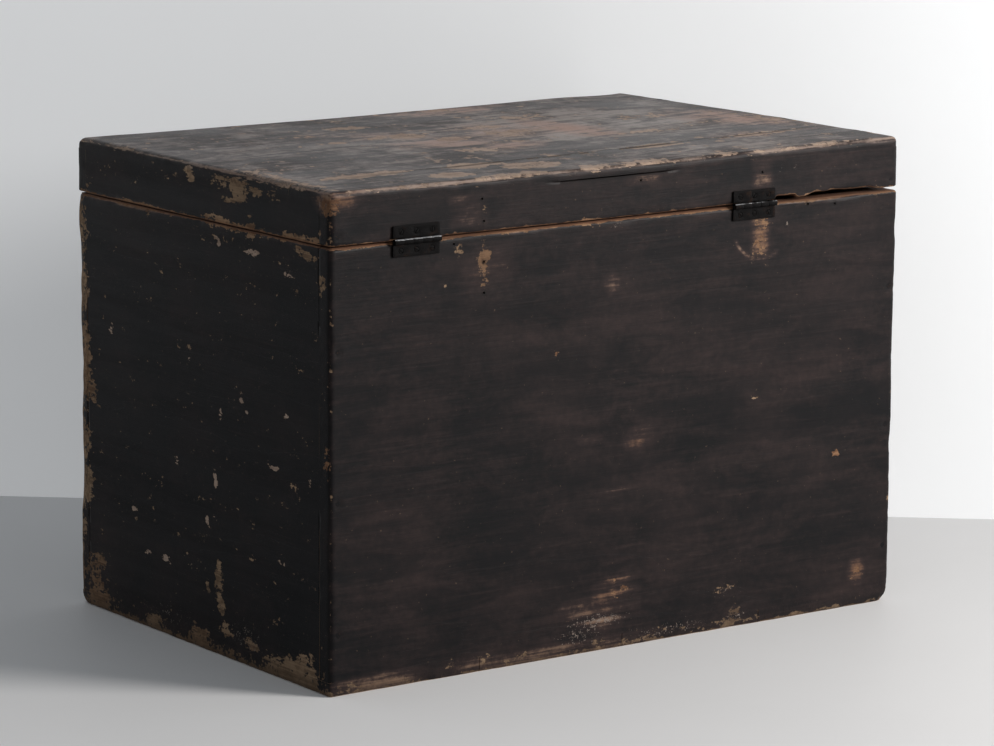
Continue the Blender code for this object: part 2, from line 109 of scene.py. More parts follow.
# Paint that is gone, so that the bare wood shows
PAINT_LOST = {
    "+Y": (
        Mark("scar of the first left hinge", 206, 482, 22, 28, 0.95, 0, 1.3),
        Mark("foot of the scar", 203, 462, 9, 22, 0.85),
        Mark("head of the scar", 206, 499, 5, 14, 0.7),
        Mark("pale patch by the scar", 240, 499, 10, 12, 0.85),
        Mark("chip left of the scar", 258, 460, 3, 5, 0.8),
        Mark("strip of the first right hinge", -201, 474, 20, 50, 0.62, 0, 6),
        Mark("edge of the old lid leaf", 203, 540, 7, 26, 0.55),
        Mark("near corner of the lid", 408, 560, 12, 16, 0.85),
        Mark("bare edge beside the corner", 375, 573, 50, 6, 0.5),
        Mark("fleck in the middle", 102, 363, 8, 5),
        Mark("fleck at the right", -324, 194, 8, 7),
        Mark("fleck below the hinge", -194, 279, 8, 4, 0.8),
        Mark("bare corner patch", -362, 42, 16, 22, 0.45),
        Mark("bare foot at the near corner", 382, 6, 70, 13, 0.72),
        Mark("foot, next patch", 246, 12, 30, 13, 0.40),
        Mark("foot, third patch", 201, 11, 20, 13, 0.42),
        Mark("foot, fourth patch", 152, 8, 30, 12, 0.42),
        Mark("foot below the worn patch", 33, 12, 20, 9, 0.85),
        Mark("foot, middle", -40, 4, 120, 9, 0.75),
        Mark("foot, right", -170, 6, 90, 9, 0.7),
        Mark("flakes above the foot", -73, 10, 110, 14, 0.62),
        Mark("flakes at the right foot", -173, 15, 44, 14, 0.55),
        Mark("flakes over them", -155, 47, 50, 10, 0.55),
        Mark("rubbed streak", 14, 81, 30, 7, 0.62, -5),
        Mark("rubbed streak below", 10, 69, 40, 7, 0.66, -5),
        Mark("rubbed streak, left", 64, 62, 40, 4, 0.5, -5),
        Mark("right edge chip", -411, 132, 7, 16, 0.8),
    ),
    "+X": (
        Mark("small flake on the lid", -21, 566, 20, 17),
        Mark("large flake, left arm", 50, 564, 36, 10, 0.95),
        Mark("large flake, body", 86, 558, 36, 26, 1.15),
        Mark("large flake, foot", 72, 544, 46, 6, 1.0),
        Mark("large flake, right arm", 115, 560, 38, 9, 1.05),
        Mark("large flake, end", 155, 560, 26, 11, 0.85),
        Mark("rubbed top edge of the lid", 160, 575, 190, 8, 0.9),
        Mark("near corner of the lid", 266, 562, 18, 34),
        Mark("dot on the lid", 108, 529, 10, 3),
        Mark("chip beside the corner", 255, 528, 5, 6, 0.85),
        Mark("lid foot, middle", 38, 517, 76, 5, 1.15),
        Mark("lid foot, next", 112, 517, 50, 5, 1.15),
        Mark("lid foot, near", 212, 518, 88, 6, 1.15),
        Mark("rim, middle", 41, 508, 40, 4),
        Mark("rim, next", 95, 508, 66, 3.5, 0.9),
        Mark("rim, near", 222, 501, 46, 7, 1.1, -13),
        Mark("rim dot", -113, 506, 10, 12, 0.9),
        Mark("front edge, top", -270, 470, 24, 66, 0.85),
        Mark("front edge, upper", -270, 392, 24, 70, 1.0),
        Mark("front edge, middle", -266, 300, 24, 110, 1.1),
        Mark("front edge, bulge", -254, 272, 24, 30, 0.95),
        Mark("front edge, hook", -240, 258, 24, 5, 0.9, -10),
        Mark("front edge, lower", -268, 205, 22, 60, 0.9),
        Mark("front edge, low", -264, 150, 30, 46, 1.1),
        Mark("front edge, foot", -271, 96, 16, 44, 0.7),
        Mark("front corner, rubbed", -246, 48, 60, 60, 0.66),
        Mark("front corner, foot", -240, 14, 70, 24, 0.95),
        Mark("foot flake 1", -108, 10, 38, 18),
        Mark("foot flake 2", -4, 12, 46, 24),
        Mark("foot flake 3", 57, 34, 16, 24),
        Mark("foot flake 4", 111, 27, 30, 15),
        Mark("foot edge", 60, 6, 150, 9, 0.8),
        Mark("foot at the near corner", 195, 12, 116, 34),
        Mark("near corner, rising", 226, 28, 40, 30, 0.9),
        Mark("tall flake", 39, 84, 16, 50),
        Mark("tall flake, foot", 44, 62, 14, 24),
        Mark("tall flake, side", 13, 80, 10, 14, 0.9),
        Mark("dash 1", -121, 92, 13, 4),
        Mark("dash 2", -80, 94, 26, 5),
        Mark("dash 3", -30, 97, 15, 5, 0.9),
        Mark("dash 4", 8, 98, 10, 4, 0.8),
        Mark("fleck 1", 111, 488, 30, 6),
        Mark("fleck 2", 190, 474, 28, 6),
        Mark("fleck 3", -130, 412, 6, 9),
        Mark("fleck 4", -201, 354, 5, 12),
        Mark("fleck 5", -24, 343, 6, 5),
        Mark("fleck 6", 44, 292, 5, 8),
        Mark("fleck 7", 88, 313, 6, 4),
        Mark("fleck 8", 99, 300, 6, 4),
        Mark("fleck 9", 185, 309, 13, 4),
        Mark("fleck 10", -53, 216, 6, 12),
        Mark("fleck 11", 31, 212, 5, 24),
        Mark("fleck 12", 158, 245, 20, 4),
        Mark("fleck 13", 233, 244, 5, 13),
        Mark("fleck 14", 28, 164, 6, 5),
        Mark("fleck 14, beside it", 12, 158, 6, 6),
        Mark("fleck 15", -151, 141, 12, 4),
        Mark("fleck 16", 168, 137, 32, 3, 0.9),
        Mark("fleck 17", 42, 490, 4, 8),
        Mark("near edge, pale", 257, 471, 16, 22, 0.9),
        Mark("near edge, red", 267, 269, 9, 40, 0.8),
    ),
    "+Z": (
        Mark("joint, right end", -292, 158, 150, 20, 1.0, 3),
        Mark("joint, right", -119, 168, 90, 24, 1.25, 3),
        Mark("joint, thin strip", -10, 172, 90, 12, 0.9, 3),
        Mark("joint, middle", 40, 172, 90, 14, 0.9, 3),
        Mark("joint, left", 156, 182, 70, 34, 1.3, 3),
        Mark("joint, left end", 308, 182, 130, 24, 1.25, 3),
        Mark("back board, pale", 97, 216, 72, 38, 1.4),
        Mark("back board, left", 220, 236, 54, 36, 1.3),
        Mark("back edge 1", 165, 266, 120, 20, 0.9),
        Mark("back edge 2", 46, 264, 56, 22, 0.95),
        Mark("back edge 3", -31, 265, 66, 22, 0.95),
        Mark("back edge 4", -153, 266, 54, 18, 0.8),
        Mark("back edge 5", -309, 265, 90, 18, 0.8),
        Mark("streak 1", 87, -179, 66, 26, 1.0),
        Mark("streak 2", 77, -76, 80, 40, 1.0),
        Mark("streak 3", 42, -23, 50, 36, 0.9),
        Mark("streak 4", -54, -88, 60, 30, 1.0),
        Mark("streak 5", 76, 77, 52, 30, 0.95),
        Mark("streak 6", 118, -73, 50, 20, 0.95),
        Mark("streak 7", 177, -68, 24, 16, 0.95),
        Mark("streak 8", 10, 40, 80, 26, 0.8),
        Mark("streak 9", -200, 60, 90, 30, 0.75),
        Mark("streak 10", 170, -140, 90, 30, 0.7),
        Mark("streak 11", -160, -150, 110, 40, 0.75),
        Mark("streak 12", -280, -60, 90, 40, 0.7),
        Mark("yellow patch", -49, -41, 84, 96, 0.6),
        Mark("far edge", -98, -262, 100, 24, 0.8),
        Mark("right end", -396, 60, 40, 200, 0.6),
        Mark("near end", 402, 150, 22, 230, 0.95),
    ),
}

# Paint rubbed thin, so that the brown wood shows through it
PAINT_THINNED = {
    "+Y": (
        Mark("ghost of the lid leaf", 226, 540, 46, 34, 1.25, 0, 6),
        Mark("halo of the scar", 203, 462, 80, 70, 0.75),
        Mark("red smear", 21, 438, 22, 28, 1.0),
        Mark("smear on the lid", 238, 554, 30, 8, 1.9),
        Mark("lid strip", -202, 549, 26, 34, 1.5, 0, 6),
        Mark("round the bare strip", -201, 475, 24, 56, 1.6, 0, 6),
        Mark("brown patch", -20, 249, 42, 28, 1.2),
        Mark("brown patch, left", 50, 256, 40, 12, 1.0),
        Mark("scratch", 0, 192, 66, 2.2, 1.7, -3),
        Mark("scratch, lower", -14, 122, 52, 2, 1.5, -3),
        Mark("scratch, lowest", 8, 105, 46, 2, 1.5, -4),
        Mark("worn at the foot", 36, 52, 150, 90, 0.75),
        Mark("long streaks", 17, 190, 120, 26, 0.5),
        Mark("scratched patch", -259, 150, 220, 90, 0.35),
        Mark("under the seam", 20, 505, 60, 20, 0.5),
        Mark("rail patch", -23, 558, 44, 9, 1.8, 0, 6),
        Mark("near corner", 395, 540, 40, 60, 0.5),
        Mark("foot", 0, 14, 830, 40, 0.6),
        Mark("foot at the near corner", 352, 6, 130, 22, 1.9, 0, 4),
        Mark("foot, middle", 100, 7, 330, 20, 1.5),
        Mark("bare corner patch", -362, 44, 22, 32, 1.5),
        Mark("foot, worn band", 100, 8, 130, 15, 2.0),
        Mark("foot, worn lumps", 218, 10, 80, 15, 1.6),
        Mark("rubbed streak", 16, 80, 64, 10, 2.1, -5),
        Mark("rubbed streak below", 14, 67, 78, 8, 1.9, -5),
        Mark("rubbed streak, left", 72, 60, 64, 7, 1.5, -5),
        Mark("rubbed streak, low", 52, 47, 100, 7, 1.4, -5),
        Mark("band of crumbs", 36, 36, 74, 13, 1.75),
        Mark("near corner of the lid", 400, 567, 44, 20, 2.0),
    ),
    "+X": (
        Mark("front corner", -240, 50, 110, 110, 0.6),
        Mark("foot", 0, 8, 560, 36, 0.5),
        Mark("near corner of the lid", 262, 566, 34, 24, 2.0),
    ),
    "+Z": (
        Mark("reddish middle", -90, -50, 260, 360, 1.7, 0, 3),
        Mark("left of the middle", 110, -60, 260, 320, 1.5, 0, 3),
        Mark("red streak", -131, -15, 60, 180, 1.9),
        Mark("yellow patch", -45, -45, 100, 110, 2.1),
        Mark("reddish patch", 64, 3, 110, 90, 2.1),
        Mark("reddish patch, near", 21, 67, 90, 44, 2.0),
        Mark("far edge", -98, -240, 240, 80, 1.7),
        Mark("far right", -363, 21, 110, 260, 1.7),
        Mark("right of the middle", -250, 20, 200, 320, 1.5, 0, 3),
        Mark("along the joint", 0, 160, 900, 60, 1.2, 3),
        Mark("back edge", 0, 264, 900, 36, 1.3),
        Mark("back board, right", -200, 215, 420, 90, 1.35),
        Mark("far right of the middle", -230, -110, 200, 170, 1.6),
    ),
}

# A scratch along an arc on the back, in millimetres and degrees
ARC_MIDDLE = (-203, 493)
ARC_RADIUS = 45.5
ARC_START, ARC_END, ARC_STEPS = 243, 328, 9
PAINT_THINNED["+Y"] += tuple(
    Mark("arc", ARC_MIDDLE[0] + ARC_RADIUS * math.cos(angle), ARC_MIDDLE[1] + ARC_RADIUS * math.sin(angle),
         wide=9, tall=2.5, amount=2.0, turn=math.degrees(angle) - 270)
    for angle in np.radians(np.linspace(ARC_START, ARC_END, ARC_STEPS)))

# Bare wood of a warmer, orange colour
ORANGE_WOOD = {
    "+Y": (
        Mark("near corner of the lid", 398, 560, 50, 50),
        Mark("strip of the first right hinge", -201, 476, 40, 60, 0.8),
        Mark("scar of the first left hinge", 206, 480, 40, 60, 0.8),
        Mark("flecks", 102, 363, 20, 20),
        Mark("fleck at the right", -324, 194, 24, 20),
        Mark("brown patch", -20, 249, 56, 44, 0.9),
        Mark("bare corner patch", -362, 44, 44, 54),
        Mark("rubbed streaks", 18, 72, 90, 44, 0.8),
    ),
    "+X": (
        Mark("near edge, red", 267, 269, 20, 60),
        Mark("near corner of the lid", 262, 560, 40, 50),
        Mark("front corner", -235, 30, 120, 110, 0.5),
        Mark("front edge", -262, 290, 50, 150, 0.3),
        Mark("foot", 10, 8, 200, 40, 0.4),
        Mark("end arris", 150, 575, 240, 12, 0.7),
    ),
    "+Z": (
        Mark("joint, right end", -300, 155, 180, 40),
        Mark("end arris", 411, 150, 16, 240, 0.7),
        Mark("yellow patch", -45, -45, 120, 130, 0.6),
        Mark("reddish patch", 64, 3, 130, 110, 0.8),
        Mark("reddish patch, near", 21, 67, 100, 60, 0.8),
        Mark("brown patch, left", 140, -110, 140, 90, 0.5),
        Mark("red streak", -131, -15, 60, 180),
        Mark("far edge", -98, -250, 200, 60),
        Mark("far right", -363, 21, 110, 200, 0.9),
    ),
}

# Bare wood that is dark with dirt
DIRTY_WOOD = {
    "+Y": (
        Mark("scar of the first left hinge", 206, 478, 40, 60, 0.8),
        Mark("strip of the first right hinge", -201, 470, 40, 60, 0.3),
        Mark("chips by the scar", 248, 485, 30, 60, 0.5),
        Mark("near corner of the lid", 400, 556, 60, 60, 0.6),
        Mark("rim at the right", -330, 512, 220, 14, 0.7),
        Mark("right foot", -173, 15, 70, 26, 1.6),
        Mark("bare corner patch", -362, 42, 40, 50, 0.5),
        Mark("brown patch", -20, 249, 56, 44, 0.5),
    ),
    "+X": (
        Mark("front corner", -245, 40, 90, 110, 0.5),
        Mark("large flake", 100, 556, 130, 44, 0.5),
        Mark("near corner of the lid", 262, 556, 40, 60, 0.5),
    ),
}

# Small chips on the right end, where the bare wood has gone pale
BLEACHED_CHIP = 8
BLEACHED_WOOD = {
    "+X": tuple(mark._replace(wide=mark.wide + BLEACHED_CHIP, tall=mark.tall + BLEACHED_CHIP, amount=1.3)
                for mark in PAINT_LOST["+X"] if mark.what.startswith(("fleck", "dash"))),
}

# Open joints and cracks
DARK_LINES = {
    "+Y": (
        Mark("under the top board", 20, 564, 136, 3, 1.8),
        Mark("crack", -314, 354, 86, 1.5, 0.4),
    ),
    "+Z": (
        Mark("joint", -60, 168, 660, 5, 1.5, 3),
    ),
}

# Pale flecks of old filler and plaster; along the lid's back arris, a pale line that is partly worn edge and
# partly a painted highlight
PALE_FLECKS = {
    "+Y": (
        Mark("beside the lid strip", -230, 552, 3, 3, 0.8),
        Mark("further right", -252, 553, 5, 4, 0.6),
        Mark("at the worn foot", 64, 22, 66, 18, 0.42),
        Mark("over the worn foot", 38, 37, 78, 12, 0.66),
        Mark("along the foot", -73, 12, 110, 12, 0.42),
        Mark("right foot", -172, 15, 40, 10, 0.46),
        Mark("over the right foot", -155, 48, 46, 8, 0.40),
        Mark("under the strip", -240, 487, 4, 4, 0.7),
        Mark("seam spill", 14, 507, 14, 4, 0.6),
        # The lid's back arris: a pale line, partly worn edge and partly a painted highlight
        Mark("arris, left", 215, 575, 260, 3, 0.52),
        Mark("arris, middle", -60, 575, 260, 3, 0.5),
        Mark("arris, right", -310, 575, 200, 3, 0.4),
    ),
    "+X": (
        Mark("dots over the foot", -70, 30, 110, 20, 0.34),
        Mark("dots over the near foot", 100, 36, 60, 26, 0.40),
    ),
    "+Z": (
        # The lid's back arris: a pale line, partly worn edge and partly a painted highlight
        Mark("arris, left", 215, 270, 260, 8, 0.52),
        Mark("arris, middle", -60, 270, 260, 8, 0.5),
        Mark("arris, right", -310, 270, 200, 8, 0.4),
        Mark("end arris, near", 409, 170, 10, 200, 0.85),
        Mark("pale streak 1", 97, 216, 50, 20, 0.62),
        Mark("pale streak 2", 250, 174, 100, 10, 0.60),
        Mark("pale streak 3", -120, 163, 160, 10, 0.58),
        Mark("pale streak 4", 77, -79, 56, 20, 0.50),
        Mark("pale streak 5", -54, -88, 40, 14, 0.50),
    ),
}

# Holes left by pulled nails and screws, with their width and depth
HOLES = {
    "+Y": (
        Mark("lid leaf, upper", 207, 553, 4, 4),
        Mark("lid leaf, lower", 206, 526, 4, 4),
        Mark("scar", 205, 480, 5, 4),
        Mark("below the scar", 203, 444, 5, 3),
        Mark("beside the scar", 245, 506, 4, 3),
        Mark("lid strip", -202, 549, 4, 5),
        Mark("rail slot", -20, 557, 3, 5),
        Mark("under the seam 1", -272, 508, 3, 3),
        Mark("under the seam 2", -316, 506, 3, 3),
    ),
}

# Wear of the long edges: (strength, width in millimetres), by the two sides that meet there
EDGE_WEAR = {
    "chest": {
        ("+Y", "+Z"): (0.85, 2.8),
        ("+X", "+Z"): (0.72, 3.0),
        ("-X", "+Z"): (0.70, 3.6),
        ("-Y", "+Z"): (0.95, 4.5),
        ("+Y", "-Z"): (0.50, 5.0),
        ("+X", "-Z"): (0.80, 6.5),
        ("-X", "-Z"): (0.80, 6.5),
        ("-Y", "-Z"): (0.80, 6.5),
        ("+X", "+Y"): (0.22, 3.0),
        ("-X", "+Y"): (0.20, 3.5),
        ("+X", "-Y"): (0.80, 7.0),
        ("-X", "-Y"): (0.75, 6.0),
    },
    "lid": {
        ("+Y", "+Z"): (0.34, 4.4),
        ("+X", "+Z"): (0.50, 4.0),
        ("-X", "+Z"): (0.78, 4.5),
        ("-Y", "+Z"): (0.85, 5.5),
        ("+Y", "-Z"): (0.75, 2.0),
        ("+X", "-Z"): (0.74, 3.0),
        ("-X", "-Z"): (0.72, 3.5),
        ("-Y", "-Z"): (0.75, 4.0),
        ("+X", "+Y"): (0.40, 4.0),
        ("-X", "+Y"): (0.20, 4.0),
        ("+X", "-Y"): (0.68, 4.0),
        ("-X", "-Y"): (0.68, 4.0),
    },
}

# Edges where the paint is rubbed thin, in the same terms
EDGE_RUB = {
    "chest": {
        ("+Y", "+Z"): (2.1, 2.6),
        ("+X", "+Z"): (2.2, 2.6),
    },
    "lid": {
        ("+Y", "+Z"): (1.8, 4.6),
        ("+X", "+Z"): (2.2, 3.0),
        ("+Y", "-Z"): (1.6, 1.6),
        ("+X", "-Z"): (1.9, 2.0),
    },
}

# How far the lid's back edge is broken away above the rim, in millimetres: (middle, half width, height); then
# where a break fades to its ends, as shares of its half width, and how rough it is
LID_EDGE_BREAKS = ((-239, 19, 4.2), (-327, 60, 3.4))
BREAK_ENDS = (0.7, 1.0)
BREAK_ROUGHNESS = 0.35

# How the lid has warped. Its back left corner has risen, between these shares of half the length, with so
# much of the rise lost at the front. The middle of its front edge has sunk, between these shares of the
# depth, and so has a place beside its left end, at that share of the length and so wide.
LID_RISE = 2.6 * MM
LID_RISE_SPAN = (0.1, -1.0)
LID_RISE_FALL = 0.7
LID_SAG = 2.4 * MM
LID_SAG_SPAN = (0.3, 1.0)
SAG_CORNER = 0.04
SAG_CORNER_WIDTH = 0.06

# The front edge of the right end is worn away between these heights, over this width, more and less along it
EDGE_LOSS = 4.4 * MM
EDGE_LOSS_FOOT = 0.11
EDGE_LOSS_HEAD = 0.55
EDGE_LOSS_FADE = 0.03
EDGE_LOSS_WIDTH = 9.0 * MM
EDGE_LOSS_MEAN = 0.7
EDGE_LOSS_SPREAD = 0.5

# Corners of the foot that are worn round, by the two sides that meet there; the wear reaches so many times
# its own depth inwards, and fades along the edges with so many times its depth
CORNER_LOSS = {("-X", "+Y"): 10.0 * MM, ("+X", "-Y"): 8.0 * MM, ("-X", "-Y"): 8.0 * MM}
CORNER_DEPTH = 2.5
CORNER_BEND = 0.45

# How thin the paint is worn on each side, before any mark
SIDE_RUB = {"+Y": 0.30, "-Y": 0.30, "+X": 0.0, "-X": 0.05, "+Z": 1.0, "-Z": 0.4}

# Small specks of lost paint over a whole side
SIDE_SPECKS = {"+Y": 0.0, "-Y": 0.04, "+X": 0.09, "-X": 0.09, "+Z": 0.20, "-Z": 0.05}

# Flakes on the sides that aren't shown, in millimetres: one in so many is large, and most lie low
HIDDEN_FLAKES = 46
HIDDEN_SEED = {"-X": 11, "-Y": 23}
HIDDEN_HEIGHT = 500
HIDDEN_FALL = 1.6
SMALL_FLAKE = (5, 12)
LARGE_FLAKE = (14, 34)
LARGE_EVERY = 6
FLAKE_WIDE = (0.8, 2.0)
FLAKE_TALL = (0.4, 1.0)
FLAKE_AMOUNT = (0.7, 1.0)

# Seed of the screws' turns and of each board's place in the grain, shifted by so many metres
BENCH_SEED = 7
GRAIN_SHIFT = 4.0

# Painted highlights, partly rubbed bright iron: their strength along the barrels of the two hinges
# and round the screws' rims
BARREL_HIGHLIGHT = {"right": 1.12, "left": 0.78}
SCREW_RIM_HIGHLIGHT = 0.36

# How the noise of the rubbing and of the flakes is scaled along and across the grain; the top wears in
# broad patches
SIDE_RUBBING = (1.0, 1.0, 1.0)
TOP_RUBBING = (2.2, 0.3, 1.0)
SIDE_FLAKING = (0.6, 1.0, 1.0)
TOP_FLAKING = (0.45, 0.3, 1.2)

# How the shaders stretch their noise along and across the grain
FIBRE_STRETCH = (9.0, 330.0, 330.0)
RING_STRETCH = (1.1, 9.0, 9.0)
STREAK_STRETCH = (2.6, 48.0, 48.0)
PATCH_STRETCH = (9.0, 34.0, 34.0)
SCUFF_STRETCH = (7.0, 230.0, 230.0)
CRUMB_STRETCH = (2.2, 2.2, 2.2)

# A closed joint of this width opens only along a dark line, by so many times the depth of a common crack
HAIRLINE = 0.8
CRACK_DEPTH = 3.0

# Noise that makes the wear uneven: the size of its cells in metres, and its seed
NOISES = {
    "edge": (0.05, 31),
    "chip": (0.022, 17),
    "gape": (0.09, 71),
    "loss": (0.06, 53),
    "rub": (0.1, 37),
    "corner": (0.06, 3),
    "splinter": (0.012, 41),
}

# Hollows of the plane: their size across and along the grain in metres, and their seed
PLANE_CELL = 0.16
PLANE_RUN = 0.5
PLANE_SEED = 5

# The lattice that all this noise is taken from
OCTAVES = 3
LATTICE_SIZE = 4096
LATTICE_STRIDES = (73856093, 19349663, 83492791)

# How noise breaks up the worn edges, the rubbed edges and the joints that gape
EDGE_RAGGED = 0.55
EDGE_FALL = 0.7
BROKEN_RUB_MEAN = 0.8
BROKEN_RUB_SPREAD = 0.45
GAPING = (0.1, 0.6)

# Distances between which an effect fades away: below a side, from a side's edge, or round a nail
MARK_FADE = (1.5 * MM, 4.0 * MM)
RUB_FADE = (2.0 * MM, 5.0 * MM)
SKIN_FADE = (0.0, 6.0 * MM)
BLEACH_AND_SHEEN_FADE = (4.0 * MM, 10.0 * MM)
BLEACH_AND_SHEEN_EDGE = (1.0 * MM, 9.0 * MM)
BREAK_FADE = (0.0, 14.0 * MM)
NAIL_CALM = (4.0 * MM, 30.0 * MM)
NAIL_RIM = (4.2 * MM, 6.5 * MM)

# How far the warm wood reaches from the seam (on the bare rims, a painted shade of the seam's gap), the dirt
# from the foot and the chips from an edge, how deep a nail's head may lie, and how much of the bleaching and
# painted sheen is left at the edges of the top
SEAM_WARMTH_AND_SHADE = 5.0 * MM
FOOT_GRIME = 30.0 * MM
CHIP_WIDTH = 5.0 * MM
NAIL_SUNK = 2 * MM
BLEACH_AND_SHEEN_EDGE_SHARE = 0.6

# Pulled nails: the clear rim round a hole, its inner lip, its steps in depth, and its shade in millimetres
HOLE_MARGIN = 4 * MM
HOLE_LIP = 0.35 * MM
HOLE_STEPS = (0.5, 0.5)
HOLE_SHADE = (1.0, 4.0)
HOLE_REACH = 8.0 * MM

# Lines of the mesh beside a rounded edge, as shares of its radius; the least radius, in millimetres, that
# gets one; how uneven a radius is; and the longest edge of the mesh, in steps
EDGE_LINES = (0.3, 0.65, 1.0)
LEAST_ROUNDING = 0.1
ROUNDING_SPREAD = 0.3
LONGEST_EDGE = 1.5

# How close counts as on a plane, the least length to divide by, how much counts as the whole, and where a
# board's end begins, as a share of half the length
LEVEL = 0.01 * MM
TINY = 1e-9
NEARLY_ONE = 0.999
NEAR_END = 0.9

# Angles in degrees past which an edge is shaded as sharp
SHARP_WOOD, SHARP_LEAF, SHARP_SCREW = 50, 45, 40

# Hinge leaves: how close points are merged, how flat facets are joined, which edges are eased and how far;
# the barrel gets a painted highlight, partly rubbed bright iron, at its outer top
LEAF_MERGE = 0.02 * MM
LEAF_FLAT = math.radians(1.0)
LEAF_CORNER = math.radians(40)
LEAF_EASE = 0.25 * MM
HIGHLIGHT_REACH = (4.0 * MM, 6.0 * MM)
HIGHLIGHT_RISE = (1.2 * MM, 2.3 * MM)

# Screws, as shares of the head's radius where no unit is given
SCREW_SIDES = 28
SCREW_NECK = 0.42
SCREW_HEAD = 0.6
SCREW_TAPER = 0.4
SCREW_RIM = 0.8
SCREW_EASE = 0.3 * MM
SCREW_FACE = 0.5 * MM
HALF_SLOT = 0.45 * MM
SLOT_DEPTH = 0.7 * MM

# Stage: half sizes of the floor and the backdrop, and where the backdrop and the key light stand
FLOOR_HALF = 14.0
BACKDROP_HALF = (9.0, 5.0)
BACKDROP_FACING = Vector((0.647, 0.763, 0.0)).normalized()
BACKDROP_BEHIND = 0.53
BACKDROP_LIFT = 4.999
BACKDROP_GLOW = 0.20
KEY_AZIMUTH = math.radians(215.5)
KEY_ELEVATION = math.radians(22.0)
KEY_DISTANCE = 3.6
KEY_AIM = 0.3
KEY_SIZE = 1.3
KEY_COLOUR = (1.0, 0.975, 0.95)
SKY_COLOUR = (0.90, 0.95, 1.0, 1.0)
SENSOR_WIDTH = 36.0
UP = Vector((0.0, 0.0, 1.0))


def colour_setting(name, description, default):
    return FloatVectorProperty(name=name, description=description, subtype="COLOR", size=3, min=0.0, max=1.0,
                               default=default)


def length_setting(name, description, default, **limits):
    return FloatProperty(name=name, description=description, subtype="DISTANCE", unit="LENGTH",
                         default=default, **limits)


def angle_setting(name, description, degrees):
    return FloatProperty(name=name, description=description, subtype="ANGLE", unit="ROTATION",
                         default=math.radians(degrees))


class ChestFinish(bpy.types.PropertyGroup):
    """Colours of the paint, the wood and the iron"""

    paint: colour_setting("Paint", "Black paint where it is whole", (0.0042, 0.0041, 0.0047))
    brown_paint: colour_setting("Brown paint", "Paint with brown ground showing", (0.0104, 0.0078, 0.0080))
    stained_paint: colour_setting("Stained paint", "Paint worn to a brown stain", (0.0310, 0.0195, 0.0180))
    thin_paint: colour_setting("Thin paint", "Wood stained by paint rubbed thin", (0.270, 0.172, 0.118))
    # The grey of the top under thin paint is partly a painted sheen
    top_paint: colour_setting("Top paint", "Wood of the top, grey under thin paint", (0.245, 0.205, 0.184))
    top_red: colour_setting("Top red", "Reddish patches of the top under thin paint", (0.330, 0.185, 0.135))
    bare_wood: colour_setting("Bare wood", "Wood where the paint is lost", (0.310, 0.212, 0.134))
    bare_wood_dark: colour_setting("Dark bare wood", "Late wood and dirt in it", (0.120, 0.078, 0.049))
    dirty_wood: colour_setting("Dirty wood", "Bare wood under old dirt", (0.066, 0.043, 0.028))
    # The pale bare wood of the top is partly a painted sheen
    bleached_wood: colour_setting("Bleached wood", "Bare wood on the top, gone pale", (0.420, 0.320, 0.262))
    seam_wood: colour_setting("Seam wood", "Rubbed orange wood along the lid's seam", (0.205, 0.098, 0.048))
    # Its dark wood is also the painted shade of the seam's gap on the bare rims
    seam_wood_dark: colour_setting("Dark seam wood", "Dirty wood along the seam", (0.085, 0.030, 0.013))
    inside_wood: colour_setting("Inside wood", "Unpainted pine inside the chest", (0.330, 0.205, 0.105))
    inside_wood_dark: colour_setting("Dark inside wood", "Late wood of the bare pine", (0.180, 0.095, 0.042))
    inside_dirt: colour_setting("Inside dirt", "Old dirt on the unpainted pine", (0.070, 0.042, 0.024))
    crack: colour_setting("Crack", "Dark of open joints, cracks and holes", (0.004, 0.003, 0.003))
    # Also the pale line of the lid's back arris, partly a painted highlight
    pale: colour_setting("Pale flecks", "Filler and plaster that stuck to the paint", (0.165, 0.132, 0.112))
    iron: colour_setting("Iron", "Black iron of the hinges", (0.0032, 0.0028, 0.0029))
    # Also the colour of the painted highlights on the knuckles and the screws' rims, and of the painted glints
    iron_worn: colour_setting("Worn iron", "Iron rubbed bright on the knuckles", (0.420, 0.415, 0.420))
    rust: colour_setting("Rust", "Rust in the hollows of the iron", (0.040, 0.019, 0.011))


class ChestWear(bpy.types.PropertyGroup):
    """How uneven and worn the boards are"""

    plane_wave: length_setting("Plane wave", "Depth of the hollows left by hand planing", 0.0007, min=0.0)
    edge_depth: length_setting("Edge depth", "How deep the edges are worn down", 0.0013, min=0.0)
    joint_depth: length_setting("Joint depth", "Depth of the cracks where paint over a joint has opened",
                                0.0009, min=0.0)
    nail_dent: length_setting("Nail dent", "Depth of the hollow round a nail's head", 0.00045, min=0.0)


class ChestStage(bpy.types.PropertyGroup):
    """Camera, floor and lights"""

    azimuth: angle_setting("Azimuth", "Turn of the camera round the chest from its front", 144.179)
    elevation: angle_setting("Elevation", "Height of the camera above the horizon", 10.776)
    roll: angle_setting("Roll", "Tilt of the camera about its own axis", -0.371)
    distance: length_setting("Distance", "From the camera to the point that it aims at", 5.098)
    aim_right: length_setting("Aim right", "Aim to the right of the middle of the back's foot", -0.1482)
    aim_up: length_setting("Aim up", "Aim above the middle of the back's foot", 0.3243)
    lens: FloatProperty(
        name="Lens", description="Focal length in millimetres on a 36 mm sensor", subtype="DISTANCE_CAMERA",
        unit="CAMERA", default=155.77)
    floor: colour_setting("Floor", "Colour of the floor", (0.82, 0.81, 0.805))
    backdrop: colour_setting("Backdrop", "Colour of the backdrop", (0.84, 0.85, 0.86))
    key_power: FloatProperty(
        name="Key", description="Power of the large soft key light in watts", subtype="POWER", unit="POWER",
        default=134.0)
    ambient: FloatProperty(
        name="Ambient", description="Strength of the even light from all round", default=0.33)


# Shapes


def axis_of(side):
    return "XYZ".index(side[1])


def sign_of(side):
    return 1.0 if side[0] == "+" else -1.0


